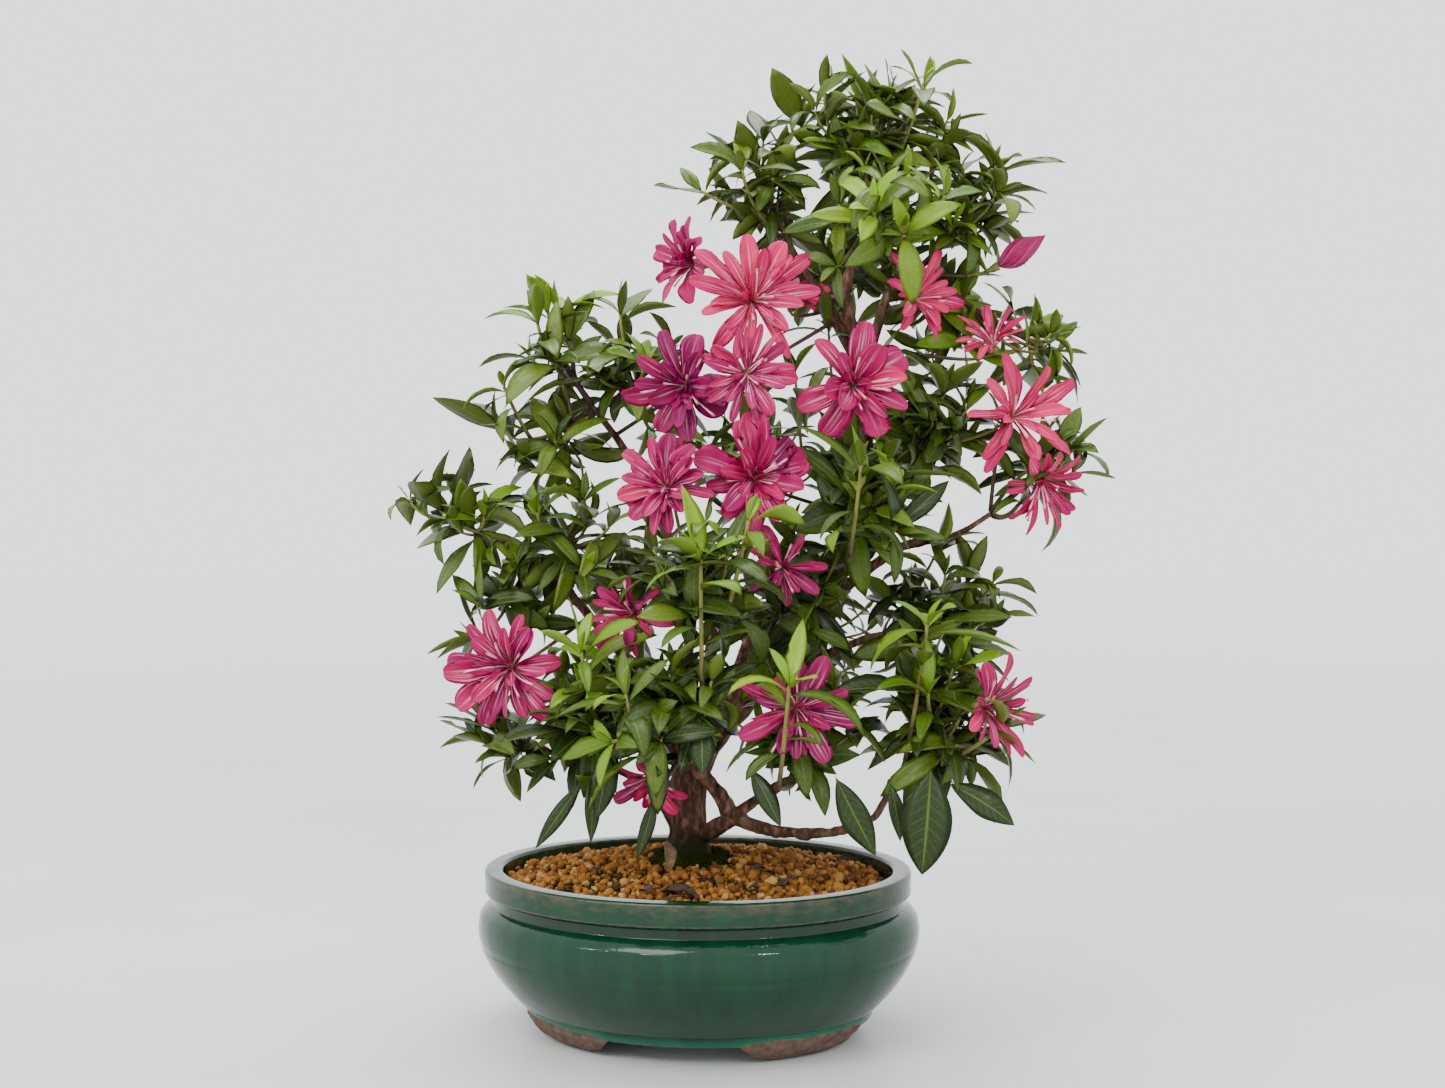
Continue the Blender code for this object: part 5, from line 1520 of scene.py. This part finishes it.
# Single leaves that hang out of the crown: foot, tip, width as a share of the length.
HANGING_LEAVES = (
    ((0.125, -0.095, 0.070), (0.120, -0.100, 0.015), 0.48),
    ((0.075, -0.090, 0.065), (0.095, -0.095, 0.025), 0.36),
    ((0.135, -0.085, 0.060), (0.170, -0.090, 0.040), 0.40),
    ((-0.060, -0.065, 0.060), (-0.085, -0.070, 0.025), 0.20),
    ((-0.055, -0.070, 0.065), (-0.055, -0.080, 0.030), 0.26),
    ((-0.045, -0.085, 0.080), (-0.050, -0.095, 0.045), 0.40),
    ((-0.020, -0.075, 0.055), (-0.030, -0.080, 0.020), 0.22),
    ((0.030, -0.090, 0.070), (0.045, -0.095, 0.040), 0.34),
    ((0.105, -0.080, 0.060), (0.110, -0.085, 0.030), 0.30),
    ((0.005, -0.100, 0.095), (0.005, -0.110, 0.070), 0.50),
)


def feet_and_tips(rows):
    """The first two places of each row, and its other columns."""
    feet, tips, *others = zip(*rows)
    feet, tips = (np.array([tree_place(*place) for place in part]) for part in (feet, tips))
    return feet, tips, *(np.array(part) for part in others)


def grow_tall_shoots(crown):
    """The shoots that stand out, each joined to the nearest wood by a rod that sags."""
    rng = np.random.default_rng(SEEDS["tall"])
    feet, tips, size, fresh = feet_and_tips(TALL_SHOOTS)
    arm = tips - feet
    knees = feet + arm * 0.5 - np.linalg.norm(arm, axis=1, keepdims=True) * [[0, 0, 0.12]]
    roots = np.array([crown.nearest_wood(foot) for foot in feet])
    stems = quadratic(feet, knees, tips, STEM_STEPS)
    shoots = Shoots(stems, size, fresh)
    count = dress_shoots("tall", None, shoots, rng, Crown(crown.wood, []))
    links = quadratic(roots, (roots + feet) / 2 - [0, 0, 8 * MM], feet, STEM_STEPS)
    thick = np.broadcast_to(np.linspace(1.9, 1.25, STEM_STEPS)[None] * MM, links.shape[:2])
    put_rods("tall_roots", STEM, "foliage", links, thick, 6, lambda place: place * 0.4)
    return count


def hang_leaves():
    """Broad single leaves along straight lines down from their feet, faces to the front."""
    rng = np.random.default_rng(SEEDS["hanging"])
    feet, tips, share = feet_and_tips(HANGING_LEAVES)
    along = unit(tips - feet)
    length = np.linalg.norm(tips - feet, axis=1) * 1.04
    front = np.array([*turned(0.1, -1.0), 0.05])
    face = square_to(along, unit(front + rng.normal(0, 0.2, feet.shape)))
    count = len(feet)
    shape = blade_shape(
        rng, start=0.18, curl=-rng.uniform(0.2, 0.6, count), fold=rng.uniform(0.1, 0.3, count),
        cup=(-0.1, 0.1), ripple=(0, 0.12), waves=(1, 2), twist=0.2, thick=0.6 * MM,
    )
    blade = (feet, along, face, length, length * share / 2, shape)
    put_leaves("hanging_leaves", (), blade, np.zeros(count), rng, tone=-0.6, rows=16)


def make_stalks(feet, crown):
    """A thin stalk from the back of each flower to the nearest wood, with a small cup."""
    ends = np.array([crown.nearest_wood(foot - axis * 20 * MM) for foot, axis, _ in feet])
    hearts, axes = (np.array(part) for part in list(zip(*feet))[:2])
    far = np.linalg.norm(ends - hearts, axis=1, keepdims=True)
    knees = hearts - axes * np.minimum(far * 0.5, 18 * MM)
    paths = quadratic(hearts, knees, ends, STALK_STEPS)
    thick = np.interp(np.arange(STALK_STEPS), [0, 1, 2, 9], [3.0, 2.2, 0.9, 1.3]) * MM
    thick = np.broadcast_to(thick, paths.shape[:2])
    put_rods(
        "flower_stalks", STEM, "foliage", paths, thick, 7,
        lambda place: 1 - smoothstep(0.3, 0.8, place),
    )


# ---------------------------------------------------------------- floor, light, camera


FLOOR_HALF = 12.0
SKY = (0.86, 0.88, 0.90, 1.0)
SKY_STRENGTH = 2.2
PANELS = (
    # name, place (right, away, up), size, power, colour
    ("key", (-0.70, -1.00, 1.60), (0.8, 0.8), 20.0, (1.0, 0.98, 0.95)),
    ("top", (0.1, 0.3, 1.9), (1.0, 1.0), 36.0, (0.97, 0.99, 1.0)),
    ("strip_far_left", (-1.10, -0.75, 0.86), (0.13, 0.04), 3.5, (1.0, 1.0, 1.0)),
    ("strip_left", (-0.58, -1.05, 0.82), (0.14, 0.035), 1.7, (1.0, 1.0, 1.0)),
    ("strip_right", (0.52, -1.10, 0.80), (0.10, 0.045), 3.2, (1.0, 1.0, 1.0)),
)
LIGHT_AIM = (POT_MIDDLE[0] + 0.04, POT_MIDDLE[1], 0.25)


def make_stage():
    """A wide pale floor, soft panels of light and a pale sky."""
    corners = [(-1, -1, 0), (1, -1, 0), (1, 1, 0), (-1, 1, 0)]
    corners = np.array(corners) * FLOOR_HALF
    floor = put_mesh("floor", corners, np.array([[0, 1, 2, 3]]))
    floor.data.materials.append(floor_finish())
    world = bpy.context.scene.world or bpy.data.worlds.new("sky")
    bpy.context.scene.world = world
    world.use_nodes = True
    sky = world.node_tree.nodes["Background"]
    sky.inputs["Color"].default_value = SKY
    sky.inputs["Strength"].default_value = SKY_STRENGTH
    for name, (right, away, up), (wide, tall), power, colour in PANELS:
        data = bpy.data.lights.new(name, "AREA")
        data.shape = "RECTANGLE"
        data.size, data.size_y = wide, tall
        data.energy = power
        data.color = colour
        light = put_thing(name, data)
        light.location = (*pot_place(right, away), up)
        towards = Vector(LIGHT_AIM) - light.location
        light.rotation_mode = "QUATERNION"
        light.rotation_quaternion = towards.to_track_quat("-Z", "Y")


CAMERA_AWAY = 0.917         # from the pot's middle
CAMERA_RIGHT = 0.0164
CAMERA_HEIGHT = 0.282
CAMERA_LENS = 39.0
CAMERA_ROLL = math.radians(0.4)
SENSOR = 36.0


def make_camera():
    """A level camera before the tree's best side."""
    data = bpy.data.cameras.new("camera")
    data.lens = CAMERA_LENS
    data.sensor_width = SENSOR
    camera = put_thing("camera", data)
    camera.location = (*pot_place(CAMERA_RIGHT, -CAMERA_AWAY), CAMERA_HEIGHT)
    camera.rotation_euler = (math.pi / 2, CAMERA_ROLL, TREE_TURN)
    bpy.context.scene.camera = camera


# ---------------------------------------------------------------- put together


def main():
    """Everything in order, from the pot up to the leaves, then the stage."""
    for node, finish in KEPT_NODES.items():
        coat(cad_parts[node], finish)
    make_pot()
    make_grains()
    make_moss()
    dead_leaf("standing_leaf", "dry_leaf", DRY_LEAF, SEEDS["dry_leaf"], curl=0.9)
    dead_leaf("lying_leaf", "dark_leaf", DARK_LEAF, SEEDS["dark_leaf"], curl=0.7)
    make_litter()
    wood_points = make_wood()
    blooms = []
    for seed, (name, look) in enumerate(FLOWER_LOOKS.items()):
        blooms.append(make_flower(f"flower_{name}", SEEDS["flowers"] + seed, *look))
    bud = make_bud("flower_bud")
    crown = Crown(wood_points, blooms)
    make_stalks([*blooms, bud], crown)
    total = grow_tall_shoots(crown)
    hang_leaves()
    for seed, node in enumerate(sorted(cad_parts)):
        if node.startswith("spray_"):
            rng = np.random.default_rng(SEEDS["sprays"] + seed)
            name = node.removeprefix("spray_")
            branchlet, shoots = spray_shoots(name, rng, crown)
            total += dress_shoots(name, branchlet, shoots, rng, crown, node)
    print("leaves", total)
    make_stage()
    make_camera()


main()
